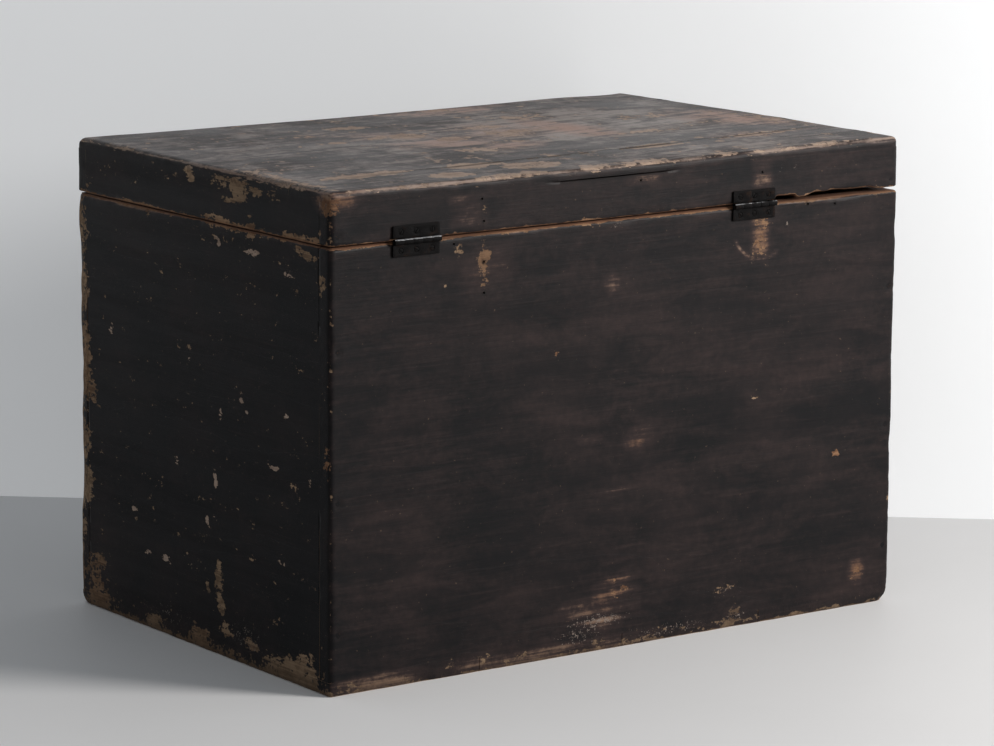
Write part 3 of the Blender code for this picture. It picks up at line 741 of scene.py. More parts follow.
def limit_of(side, low, high):
    """Where one side of a block lies on its own axis."""
    return (high if sign_of(side) > 0 else low)[axis_of(side)]


def along_axis(axis, length):
    vector = Vector((0.0, 0.0, 0.0))
    vector[axis] = length
    return vector


def seam_height(y):
    """Height of the rim's edge at a depth; the lid's seam falls towards the front."""
    return SEAM_BACK_Z - SEAM_SLOPE * (BACK_Y - y)


def smooth(low, high, values):
    share = np.clip((values - low) / (high - low), 0.0, 1.0)
    return share * share * (3.0 - 2.0 * share)


def lattice_noise(points, cell, seed):
    """Smooth noise from -1 to 1 over points, with random values on a lattice whose cells have that size."""
    values = np.random.default_rng(seed).uniform(-1.0, 1.0, LATTICE_SIZE)
    place = points / np.asarray(cell)
    corner = np.floor(place).astype(np.int64)
    share = place - corner
    share = share * share * (3.0 - 2.0 * share)
    total = np.zeros(len(points))
    for step in np.ndindex(2, 2, 2):
        index = np.bitwise_xor.reduce((corner + np.array(step)) * np.array(LATTICE_STRIDES), axis=1)
        weight = np.prod(np.where(np.array(step) == 1, share, 1.0 - share), axis=1)
        total += weight * values[index % LATTICE_SIZE]
    return total


def fractal_noise(points, cell, seed):
    total = np.zeros(len(points))
    for octave in range(OCTAVES):
        total += lattice_noise(points, np.asarray(cell) / 2.0 ** octave, seed + octave) / 2.0 ** octave
    return total


def wear_noise(points, kind):
    return fractal_noise(points, *NOISES[kind])


def board_limits(board):
    """Corners of a board without its hidden tongue, and up to its neighbour where a joint is closed."""
    low, high = (np.array(corner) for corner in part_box(board.node))
    upper = board.node.replace("_lower_", "_upper_")
    if upper != board.node:
        high[2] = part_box(upper)[0].z
    for side in board.closed:
        limit = high if sign_of(side) > 0 else low
        limit[axis_of(side)] += sign_of(side) * JOINT_GAP
    return low, high


def cut_across(bm, axis, at):
    geometry = bm.verts[:] + bm.edges[:] + bm.faces[:]
    bmesh.ops.bisect_plane(bm, geom=geometry, plane_co=along_axis(axis, at), plane_no=along_axis(axis, 1.0))


def split_along(bm, axis, step):
    """Divides every edge that runs along an axis into lengths of about one step."""
    spans = {}
    for edge in bm.edges:
        run = edge.verts[1].co - edge.verts[0].co
        length = run.length
        if abs(run[axis]) > NEARLY_ONE * length and length > LONGEST_EDGE * step:
            spans.setdefault(round(length / step), []).append(edge)
    for count, edges in spans.items():
        bmesh.ops.subdivide_edges(bm, edges=edges, cuts=count - 1, use_grid_fill=False)


def board_blank(board, low, high):
    """A block with a fine mesh on its faces and a few closer lines beside each edge."""
    bm = bmesh.new()
    bmesh.ops.create_cube(bm, size=1.0)
    bmesh.ops.scale(bm, vec=high - low, verts=bm.verts)
    bmesh.ops.translate(bm, vec=(low + high) / 2, verts=bm.verts)
    for side in SIDES:
        radius = board.rounding[side] * MM
        shares = EDGE_LINES if radius > WIDEST_JOINT * MM else (1.0,) if radius > LEAST_ROUNDING * MM else ()
        for share in shares:
            cut_across(bm, axis_of(side), limit_of(side, low, high) - sign_of(side) * radius * share)
    for axis in range(3):
        split_along(bm, axis, board.step)
    return bm


def on_side(face, side, low, high):
    limit = limit_of(side, low, high)
    return all(abs(vert.co[axis_of(side)] - limit) < LEVEL for vert in face.verts)


def sink_holes(bm, board, low, high):
    """Pushes a small square in where a nail or a screw was pulled."""
    for side in board.painted:
        axis = axis_of(side)
        first, second = FACE_AXES[side[1]]
        for mark in HOLES.get(side, ()):
            place = along_axis(axis, limit_of(side, low, high))
            place[first], place[second] = mark.along * MM, mark.up * MM
            if not all(low[a] + HOLE_MARGIN < place[a] < high[a] - HOLE_MARGIN for a in (first, second)):
                continue
            bm.faces.ensure_lookup_table()
            face = min(bm.faces, key=lambda f: (f.calc_center_median() - place).length_squared)
            bmesh.ops.inset_individual(bm, faces=[face], thickness=HOLE_LIP)
            for share in HOLE_STEPS:
                face = bmesh.ops.extrude_discrete_faces(bm, faces=[face])["faces"][0]
                push = along_axis(axis, -sign_of(side) * mark.tall * share * MM)
                bmesh.ops.translate(bm, verts=face.verts, vec=push)


def side_depths(points, low, high):
    """How far each point lies below each of the six sides."""
    return {side: sign_of(side) * (limit_of(side, low, high) - points[:, axis_of(side)]) for side in SIDES}


def soften(points, low, high, rounding):
    """Rounds the worn edges of a block: each side draws in over its own width."""
    offset = np.zeros_like(points)
    radii = np.ones_like(points)
    uneven = 1.0 + ROUNDING_SPREAD * wear_noise(points, "corner")
    for side in SIDES:
        if rounding[side] < WIDEST_JOINT:
            continue
        axis = axis_of(side)
        radius = rounding[side] * MM * uneven
        limit = limit_of(side, low, high) - sign_of(side) * radius
        over = sign_of(side) * (points[:, axis] - limit)
        inside = over > 0.0
        offset[inside, axis] = sign_of(side) * over[inside]
        radii[inside, axis] = radius[inside]
    share = offset / radii
    length = np.linalg.norm(share, axis=1)
    on_skin = np.max(np.abs(share), axis=1) > NEARLY_ONE
    base = points - offset
    rounded = base + share / np.maximum(length, TINY)[:, None] * radii
    return np.where(on_skin[:, None], rounded, points)


def mark_profile(mark, along, up):
    """A half on the outline of a mark, more inside and less outside, on a slope that noise can tear."""
    turn = math.radians(mark.turn)
    across = (along / MM - mark.along) * math.cos(turn) + (up / MM - mark.up) * math.sin(turn)
    over = (up / MM - mark.up) * math.cos(turn) - (along / MM - mark.along) * math.sin(turn)
    spread = min(RAGGED, max(LEAST_RAGGED, RAGGED_SHARE * min(mark.wide, mark.tall)))
    half_wide, half_tall = mark.wide / 2 + spread, mark.tall / 2 + spread
    reach = np.abs(across / half_wide) ** mark.square + np.abs(over / half_tall) ** mark.square
    outline = 1.0 - spread / min(half_wide, half_tall)
    peak = 0.5 / (1.0 - 0.5 * outline ** 2)
    return mark.amount * peak * np.clip(1.0 - 0.5 * reach ** (2.0 / mark.square), 0.0, 1.0)


def hidden_marks(side):
    """Flakes scattered over a side that the photograph doesn't show, most of them low down."""
    rng = np.random.default_rng(HIDDEN_SEED[side])
    half = RIGHT_X / MM if side[1] == "Y" else (BACK_Y - FRONT_Y) / 2 / MM
    marks = []
    for number in range(HIDDEN_FLAKES):
        up = HIDDEN_HEIGHT * rng.uniform() ** HIDDEN_FALL
        size = rng.uniform(*(SMALL_FLAKE if number % LARGE_EVERY else LARGE_FLAKE))
        marks.append(Mark(f"scattered {number}", rng.uniform(-half, half), up,
                          size * rng.uniform(*FLAKE_WIDE), size * rng.uniform(*FLAKE_TALL),
                          rng.uniform(*FLAKE_AMOUNT)))
    return tuple(marks)


def marks_of(table, side):
    if side in table:
        return table[side]
    return hidden_marks(side) if side in HIDDEN_SEED and table is PAINT_LOST else ()


def marked(points, board, depths, table):
    """The strongest mark of a table at each point, on the painted sides."""
    total = np.zeros(len(points))
    for side in board.painted:
        first, second = FACE_AXES[side[1]]
        near = 1.0 - smooth(*MARK_FADE, depths[side])
        for mark in marks_of(table, side):
            total = np.maximum(total, near * mark_profile(mark, points[:, first], points[:, second]))
    return total


def body_depths(points, body):
    """How far each point lies below the six sides of the whole chest or lid."""
    rim = seam_height(points[:, 1])
    foot = 0.0 if body == "chest" else rim + SEAM_GAP
    top = rim if body == "chest" else TOP_Z
    return {
        "-X": points[:, 0] - LEFT_X, "+X": RIGHT_X - points[:, 0],
        "-Y": points[:, 1] - FRONT_Y, "+Y": BACK_Y - points[:, 1],
        "-Z": points[:, 2] - foot, "+Z": top - points[:, 2],
    }


def edge_worn(points, body, table):
    """Wear along the long edges, in ragged lengths."""
    depths = body_depths(points, body)
    ragged = 1.0 + EDGE_RAGGED * wear_noise(points, "edge")
    total = np.zeros(len(points))
    for (one, other), (strength, width) in table[body].items():
        distance = np.hypot(depths[one], depths[other]) / (width * MM * ragged)
        total = np.maximum(total, strength * np.exp(-EDGE_FALL * distance ** 2))
    return total


def plane_waves(points, board, side):
    """Hollows along the grain; the ends of the bottom boards follow the walls above them."""
    along = board.grain
    if board.node.startswith("bottom"):
        along = "Y" if side[1] == "X" else "X"
    cell = np.full(3, PLANE_CELL)
    cell["XYZ".index(along)] = PLANE_RUN
    return 0.5 + 0.5 * fractal_noise(points, cell, PLANE_SEED)


def wear_down(points, board, depths, cracks, wear):
    """Moves the skin in: hollows from the plane, worn and chipped edges, open joints, dents round nails."""
    moved = points.copy()
    edges = body_depths(points, BODY_OF[board.node])
    chips = np.clip(wear_noise(points, "chip"), 0.0, 1.0)
    opened = smooth(*GAPING, wear_noise(points, "gape"))
    worn_edge = smooth(EDGE_LOSS_FOOT, EDGE_LOSS_FOOT + EDGE_LOSS_FADE, points[:, 2])
    worn_edge = worn_edge * smooth(EDGE_LOSS_HEAD, EDGE_LOSS_HEAD - EDGE_LOSS_FADE, points[:, 2])
    worn_edge = worn_edge * (EDGE_LOSS_MEAN + EDGE_LOSS_SPREAD * wear_noise(points, "loss"))
    to_front_edge = np.hypot(edges["+X"], edges["-Y"])
    for side in board.painted:
        axis = axis_of(side)
        first, second = FACE_AXES[side[1]]
        fall = wear.plane_wave * plane_waves(points, board, side)
        if board.node.startswith("front") and side != "-X":
            fall = fall + EDGE_LOSS * worn_edge * np.exp(-(to_front_edge / EDGE_LOSS_WIDTH) ** 2)
        for nail in nails_on(board, side):
            away = np.hypot(points[:, first] - nail[first], points[:, second] - nail[second])
            fall = fall * smooth(*NAIL_CALM, away)
            fall = fall + wear.nail_dent * (1.0 - smooth(*NAIL_RIM, away))
        for other in SIDES:
            if axis_of(other) == axis:
                continue
            to_edge = np.hypot(edges[side], edges[other])
            fall = fall + wear.edge_depth * chips * np.exp(-(to_edge / CHIP_WIDTH) ** 2)
            width = board.rounding[other]
            if 0.0 < width < WIDEST_JOINT:
                gape = cracks if width == HAIRLINE else np.maximum(opened, cracks)
                fall = fall + wear.joint_depth * gape * np.clip(1.0 - depths[other] / (width * MM), 0.0, 1.0)
        near = 1.0 - smooth(*SKIN_FADE, depths[side])
        moved[:, axis] -= sign_of(side) * near * fall
    return moved


def wear_corners(points):
    """Draws in the worn corners of the chest's foot."""
    edges = body_depths(points, "chest")
    moved = points.copy()
    for sides, loss in CORNER_LOSS.items():
        for side, across in (sides, sides[::-1]):
            away = np.hypot(edges[across], edges["-Z"])
            share = np.clip(1.0 - edges[side] / (CORNER_DEPTH * loss), 0.0, 1.0)
            moved[:, axis_of(side)] -= sign_of(side) * loss * share * np.exp(-away / (CORNER_BEND * loss))
    return moved


def nails_on(board, side):
    """Middles of the nails whose heads lie on one side of a board."""
    low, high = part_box(board.node)
    found = []
    for node in NODES:
        if "_nail" not in node or BODY_OF[node] != BODY_OF[board.node]:
            continue
        nail_low, nail_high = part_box(node)
        middle = (nail_low + nail_high) / 2
        beside = all(low[a] < middle[a] < high[a] for a in range(3) if a != axis_of(side))
        if beside and abs(limit_of(side, nail_low, nail_high) - limit_of(side, low, high)) < NAIL_SUNK:
            found.append(middle)
    return found


def follow_slants(points, board, low, high):
    """Shears a straight board to the falling seam, or to the slanting joint of the top."""
    moved = points.copy()
    share = (points[:, 2] - low[2]) / (high[2] - low[2])
    if board.node.endswith("_upper_board"):
        moved[:, 2] += share * (seam_height(points[:, 1]) - high[2])
    elif board.node.endswith("_rail"):
        moved[:, 2] += (1.0 - share) * (seam_height(points[:, 1]) + SEAM_GAP - low[2])
    elif board.node.startswith("top_"):
        joint = top_joint(board.node, points[:, 0])
        share = (points[:, 1] - low[1]) / (high[1] - low[1])
        if board.node == "top_back_board":
            moved[:, 1] += (1.0 - share) * (joint - low[1])
        else:
            moved[:, 1] += share * (joint - high[1])
    return moved


def top_joint(node, x):
    """Depth of the slanting joint between the top boards, beside one of them, at places along the length."""
    ends = []
    for sign in (-1.0, 1.0):
        verts = frame["nodes"][node].data.vertices
        depths = [vert.co.y for vert in verts if vert.co.x * sign > NEAR_END * RIGHT_X]
        ends.append(min(depths) if node == "top_back_board" else max(depths))
    return ends[0] + (ends[1] - ends[0]) * (x - LEFT_X) / (RIGHT_X - LEFT_X)


def warp_lid(points):
    """Lifts the back left corner of the lid and lets its front edge sink."""
    to_left = smooth(*LID_RISE_SPAN, points[:, 0] / RIGHT_X)
    to_front = (BACK_Y - points[:, 1]) / (BACK_Y - FRONT_Y)
    foot = seam_height(points[:, 1]) + SEAM_GAP
    height = np.clip((points[:, 2] - foot) / (TOP_Z - foot), 0.0, 1.0)
    along = np.clip((points[:, 0] - LEFT_X) / (RIGHT_X - LEFT_X), 0.0, 1.0)
    moved = points.copy()
    corner = np.exp(-((along - SAG_CORNER) / SAG_CORNER_WIDTH) ** 2)
    moved[:, 2] += LID_RISE * to_left * (1.0 - LID_RISE_FALL * to_front ** 2)
    moved[:, 2] -= LID_SAG * height * smooth(*LID_SAG_SPAN, to_front) * (np.sin(math.pi * along) + corner)
    return moved


def break_lid_edge(points):
    """Lifts the foot of the lid's back rail where it is broken away."""
    lift = np.zeros(len(points))
    rough = 1.0 + BREAK_ROUGHNESS * lattice_noise(points, *NOISES["splinter"])
    for middle, half_width, height in LID_EDGE_BREAKS:
        away = np.abs(points[:, 0] / MM - middle) / half_width
        lift = np.maximum(lift, height * MM * rough * (1.0 - smooth(*BREAK_ENDS, away)))
    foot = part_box("lid_back_rail")[0].z
    moved = points.copy()
    moved[:, 2] += lift * (1.0 - smooth(*BREAK_FADE, points[:, 2] - foot))
    return moved


# Meshes


def vertex_places(mesh):
    places = np.empty(len(mesh.vertices) * 3)
    mesh.vertices.foreach_get("co", places)
    return places.reshape(-1, 3)


def mesh_from(bm, name):
    mesh = bpy.data.meshes.new(name)
    bm.to_mesh(mesh)
    bm.free()
    return mesh


def dress(mesh, sharp, *materials):
    """Gives a mesh its materials, and smooth faces with sharp edges past an angle in degrees."""
    mesh.materials.clear()
    for material in materials:
        mesh.materials.append(material)
    mesh.shade_smooth()
    mesh.set_sharp_from_angle(angle=math.radians(sharp))


def store(mesh, name, kind, values):
    attribute = mesh.attributes.new(name, kind, "POINT")
    field = "vector" if kind == "FLOAT_VECTOR" else "value"
    attribute.data.foreach_set(field, np.ascontiguousarray(values, dtype=np.float32).ravel())


def store_grain(mesh, board, points):
    """Stores the places of a board's points along its grain, and along the strokes that wore it."""
    shift = np.random.default_rng(NODES.index(board.node) + BENCH_SEED).uniform(-GRAIN_SHIFT, GRAIN_SHIFT, 3)
    order = (0, 1, 2) if board.grain == "X" else (1, 0, 2)
    brushed = points[:, (0, 1, 2) if board.node.startswith("bottom") else order]
    on_top = board.node.startswith("top_")
    store(mesh, "grain", "FLOAT_VECTOR", points[:, order] + shift)
    store(mesh, "rub", "FLOAT_VECTOR", brushed * (TOP_RUBBING if on_top else SIDE_RUBBING))
    store(mesh, "flake", "FLOAT_VECTOR", brushed * (TOP_FLAKING if on_top else SIDE_FLAKING))


def wear_maps(board, points, depths):
    """How far paint is lost and thinned at each point, where its wood is pale, warm, dirty or dark, and the
    painted shade and sheen.
    """
    body = BODY_OF[board.node]

    def marks(table):
        return marked(points, board, depths, table)

    lost = np.maximum(marks(PAINT_LOST), edge_worn(points, body, EDGE_WEAR))
    broken = BROKEN_RUB_MEAN + BROKEN_RUB_SPREAD * wear_noise(points, "rub")
    thin = np.maximum(marks(PAINT_THINNED), broken * edge_worn(points, body, EDGE_RUB))
    for side in board.painted:
        near = 1.0 - smooth(*RUB_FADE, depths[side])
        thin = np.maximum(thin, SIDE_RUB[side] * near)
        lost = np.maximum(lost, SIDE_SPECKS[side] * near)
    to_seam = np.abs(points[:, 2] - seam_height(points[:, 1]) - SEAM_GAP / 2)
    edges = body_depths(points, body)
    to_edge = np.minimum.reduce([edges[side] for side in ("-X", "+X", "-Y", "+Y")])
    # The top's tint: bleached wood, and partly a painted sheen over the top, less at its edges
    inner = BLEACH_AND_SHEEN_EDGE_SHARE + (1.0 - BLEACH_AND_SHEEN_EDGE_SHARE) * smooth(*BLEACH_AND_SHEEN_EDGE, to_edge)
    bleach_and_sheen = (1.0 - smooth(*BLEACH_AND_SHEEN_FADE, TOP_Z - points[:, 2])) * inner
    # Near the seam, the warm mask is orange wood on painted faces and a painted shade of the seam's gap on bare
    # ones
    return {
        "lost": lost,
        "thin": thin,
        "pale": marks(PALE_FLECKS),
        "warm": np.maximum(np.exp(-to_seam / SEAM_WARMTH_AND_SHADE), marks(ORANGE_WOOD)),
        "grime": np.maximum(np.exp(-points[:, 2] / FOOT_GRIME), marks(DIRTY_WOOD)),
        "bleach_and_sheen": np.maximum(bleach_and_sheen, marks(BLEACHED_WOOD)),
        "dark": marks(DARK_LINES),
    }


def darken_holes(dark, board, points, depths):
    """Adds the shade of the pulled nails' holes to the dark of the cracks."""
    for side in board.painted:
        first, second = FACE_AXES[side[1]]
        for mark in HOLES.get(side, ()):
            away = np.hypot(points[:, first] / MM - mark.along, points[:, second] / MM - mark.up)
            dark = np.maximum(dark, (1.0 - smooth(*HOLE_SHADE, away)) * (depths[side] < HOLE_REACH))
    return dark


def make_board(board, wear):
    """One weathered board in place of its node."""
    low, high = board_limits(board)
    bm = board_blank(board, low, high)
    layer = bm.faces.layers.int.new("painted")
    for face in bm.faces:
        face[layer] = int(any(on_side(face, side, low, high) for side in board.painted))
    sink_holes(bm, board, low, high)
    slots = [0 if face[layer] else 1 for face in bm.faces]
    mesh = mesh_from(bm, board.node)
    points = vertex_places(mesh)
    depths = side_depths(points, low, high)
    placed = follow_slants(points, board, low, high)
    maps = wear_maps(board, placed, depths)
    cracks = CRACK_DEPTH * maps["dark"]
    maps["dark"] = darken_holes(maps["dark"], board, placed, depths)
    skin = soften(points, low, high, board.rounding)
    skin = follow_slants(skin, board, low, high)
    skin = wear_down(skin, board, depths, cracks, wear)
    if BODY_OF[board.node] == "chest":
        skin = wear_corners(skin)
    if board.node == "lid_back_rail":
        skin = break_lid_edge(skin)
    if BODY_OF[board.node] == "lid":
        skin = warp_lid(skin)
    mesh.vertices.foreach_set("co", skin.astype(np.float32).ravel())
    store_grain(mesh, board, points)
    for name, values in maps.items():
        store(mesh, name, "FLOAT", values)
    dress(mesh, SHARP_WOOD, painted_wood(), inside_wood())
    mesh.polygons.foreach_set("material_index", np.array(slots, dtype=np.int32))
    mesh.update()
    add_piece(board.node + "_dressed", mesh, board.node)


def add_object(name, data):
    item = bpy.data.objects.new(name, data)
    bpy.context.scene.collection.objects.link(item)
    return item


def add_piece(name, mesh, node):
    """Puts a mesh in the scene in place of a node, on the node's own body."""
    piece = add_object(name, mesh)
    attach(piece, BODY_OF[node])
    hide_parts(node)


def give_material(node, material):
    mesh = frame["nodes"][node].data
    mesh.materials.clear()
    mesh.materials.append(material)


# Shader nodes


def built_once(kind):
    """Lets a function build its node group or material only while there is none of its name."""
    def wrap(build):
        @wraps(build)
        def get():
            return getattr(bpy.data, kind).get(build.__name__) or build()
        return get
    return wrap


def add_node(tree, kind, **choices):
    node = tree.nodes.new(kind)
    for name, value in choices.items():
        setattr(node, name, value)
    return node


def feed(tree, socket, value):
    """Links a socket to another one, or sets its value."""
    if isinstance(value, bpy.types.NodeSocket):
        tree.links.new(value, socket)
    else:
        socket.default_value = value


def calculate(tree, operation, *values):
    node = add_node(tree, "ShaderNodeMath", operation=operation)
    for socket, value in zip(node.inputs, values):
        feed(tree, socket, value)
    return node.outputs["Value"]


def weighted_sum(tree, *terms):
    """Adds up (value, weight) pairs."""
    total = 0.0
    for value, weight in terms:
        total = calculate(tree, "MULTIPLY_ADD", value, weight, total)
    return total


def stepped(tree, value, low, high):
    node = add_node(tree, "ShaderNodeMapRange", interpolation_type="SMOOTHSTEP")
    feed(tree, node.inputs["Value"], value)
    feed(tree, node.inputs["From Min"], low)
    feed(tree, node.inputs["From Max"], high)
    return node.outputs["Result"]


def stretched(tree, vector, scales):
    node = add_node(tree, "ShaderNodeVectorMath", operation="MULTIPLY")
    feed(tree, node.inputs[0], vector)
    node.inputs[1].default_value = scales
    return node.outputs["Vector"]


def noise(tree, vector, scale, detail, roughness, distortion=0.0):
    node = add_node(tree, "ShaderNodeTexNoise")
    feed(tree, node.inputs["Vector"], vector)
    node.inputs["Scale"].default_value = scale
    node.inputs["Detail"].default_value = detail
    node.inputs["Roughness"].default_value = roughness
    node.inputs["Distortion"].default_value = distortion
    return node.outputs["Fac"]


def colour_mix(tree, factor, one, other):
    node = add_node(tree, "ShaderNodeMix", data_type="RGBA")
    feed(tree, node.inputs[0], factor)
    feed(tree, node.inputs[6], one)
    feed(tree, node.inputs[7], other)
    return node.outputs[2]


def value_mix(tree, factor, one, other):
    node = add_node(tree, "ShaderNodeMix", data_type="FLOAT")
    feed(tree, node.inputs[0], factor)
    feed(tree, node.inputs[2], one)
    feed(tree, node.inputs[3], other)
    return node.outputs[0]


def read_attribute(tree, name, output="Fac"):
    return add_node(tree, "ShaderNodeAttribute", attribute_name=name).outputs[output]


def rgba(colour):
    return (*colour, 1.0)


def node_group(name, outputs, *strengths):
    """An empty shader group that takes a vector and named strengths, with its input and output nodes."""
    tree = bpy.data.node_groups.new(name, "ShaderNodeTree")
    tree.interface.new_socket(name="Vector", in_out="INPUT", socket_type="NodeSocketVector")
    for label in strengths:
        tree.interface.new_socket(name=label, in_out="INPUT", socket_type="NodeSocketFloat")
    for label in outputs:
        tree.interface.new_socket(name=label, in_out="OUTPUT", socket_type="NodeSocketFloat")
    return tree, add_node(tree, "NodeGroupInput").outputs, add_node(tree, "NodeGroupOutput").inputs


def place_group(tree, group, **inputs):
    node = add_node(tree, "ShaderNodeGroup", node_tree=group)
    for label, value in inputs.items():
        feed(tree, node.inputs[label], value)
    return node.outputs


@built_once("node_groups")
def pine_grain():
    """Fibres and growth rings along the first axis of the vector."""
    group, start, end = node_group("pine_grain", ["Fibre", "Rings"])
    fibres = stretched(group, start["Vector"], FIBRE_STRETCH)
    fibre = noise(group, fibres, scale=1.0, detail=6.0, roughness=0.7)
    wave = add_node(group, "ShaderNodeTexWave", wave_type="BANDS", bands_direction="Y", wave_profile="SAW")
    feed(group, wave.inputs["Vector"], stretched(group, start["Vector"], RING_STRETCH))
    for label, value in (("Scale", 2.6), ("Distortion", 7.0), ("Detail", 3.0), ("Detail Scale", 1.1),
                         ("Detail Roughness", 0.55)):
        wave.inputs[label].default_value = value
    feed(group, end["Fibre"], stepped(group, fibre, 0.25, 0.75))
    feed(group, end["Rings"], wave.outputs["Fac"])
    return group


@built_once("node_groups")
def rubbing():
    """Long streaks and shorter patches where hands and cloths have worn the paint along the boards."""
    group, start, end = node_group("rubbing", ["Streak", "Patch", "Scuff"])
    strokes = stretched(group, start["Vector"], STREAK_STRETCH)
    streak = noise(group, strokes, scale=1.0, detail=5.0, roughness=0.62, distortion=0.4)
    feed(group, end["Streak"], stepped(group, streak, 0.28, 0.72))
    strokes = stretched(group, start["Vector"], PATCH_STRETCH)
    patch = noise(group, strokes, scale=1.0, detail=6.0, roughness=0.68, distortion=0.6)
    feed(group, end["Patch"], stepped(group, patch, 0.30, 0.70))
    strokes = stretched(group, start["Vector"], SCUFF_STRETCH)
    scuff = noise(group, strokes, scale=1.0, detail=3.0, roughness=0.6, distortion=0.3)
    feed(group, end["Scuff"], stepped(group, scuff, 0.30, 0.70))
    return group


@built_once("node_groups")
def flaking():
    """Where paint is gone: an even strength broken up by ragged noise, and the rim round each flake."""
    group, start, end = node_group("flaking", ["Bare", "Rim"], "Strength", "Streak")
    coarse = noise(group, start["Vector"], scale=85.0, detail=3.0, roughness=0.6)
    ragged = noise(group, start["Vector"], scale=240.0, detail=2.0, roughness=0.55)
    fine = noise(group, start["Vector"], scale=900.0, detail=1.0, roughness=0.5)
    level = weighted_sum(group, (start["Strength"], 1.0), (coarse, 1.3), (ragged, 1.2), (fine, 0.3),
                         (start["Streak"], 0.15))
    level = calculate(group, "SUBTRACT", level, 1.47)
    strong = stepped(group, start["Strength"], 0.0, 0.04)
    feed(group, end["Bare"], calculate(group, "MULTIPLY", strong, stepped(group, level, 0.47, 0.53)))
    feed(group, end["Rim"], calculate(group, "MULTIPLY", strong, stepped(group, level, 0.38, 0.50)))
    return group


@built_once("node_groups")
def speckle():
    """Slow mottling, grit a few millimetres wide, small specks and fine dust."""
    group, start, end = node_group("speckle", ["Mottle", "Grit", "Specks", "Dust"])
    feed(group, end["Grit"], noise(group, start["Vector"], scale=110.0, detail=4.0, roughness=0.65))
    feed(group, end["Mottle"], noise(group, start["Vector"], scale=7.0, detail=5.0, roughness=0.62))
    specks = noise(group, start["Vector"], scale=230.0, detail=3.0, roughness=0.6)
    feed(group, end["Specks"], stepped(group, specks, 0.70, 0.73))
    feed(group, end["Dust"], noise(group, start["Vector"], scale=900.0, detail=2.0, roughness=0.7))
    return group


def new_material(name):
    """A material with its node tree, its shader and the object's own coordinates."""
    material = bpy.data.materials.new(name)
    material.use_nodes = True
    tree = material.node_tree
    space = add_node(tree, "ShaderNodeTexCoord").outputs["Object"]
    return material, tree, tree.nodes["Principled BSDF"], space


def raise_surface(tree, shader, height, distance):
    bump = add_node(tree, "ShaderNodeBump")
    bump.inputs["Strength"].default_value = 1.0
    bump.inputs["Distance"].default_value = distance
    feed(tree, bump.inputs["Height"], height)
    feed(tree, shader.inputs["Normal"], bump.outputs["Normal"])


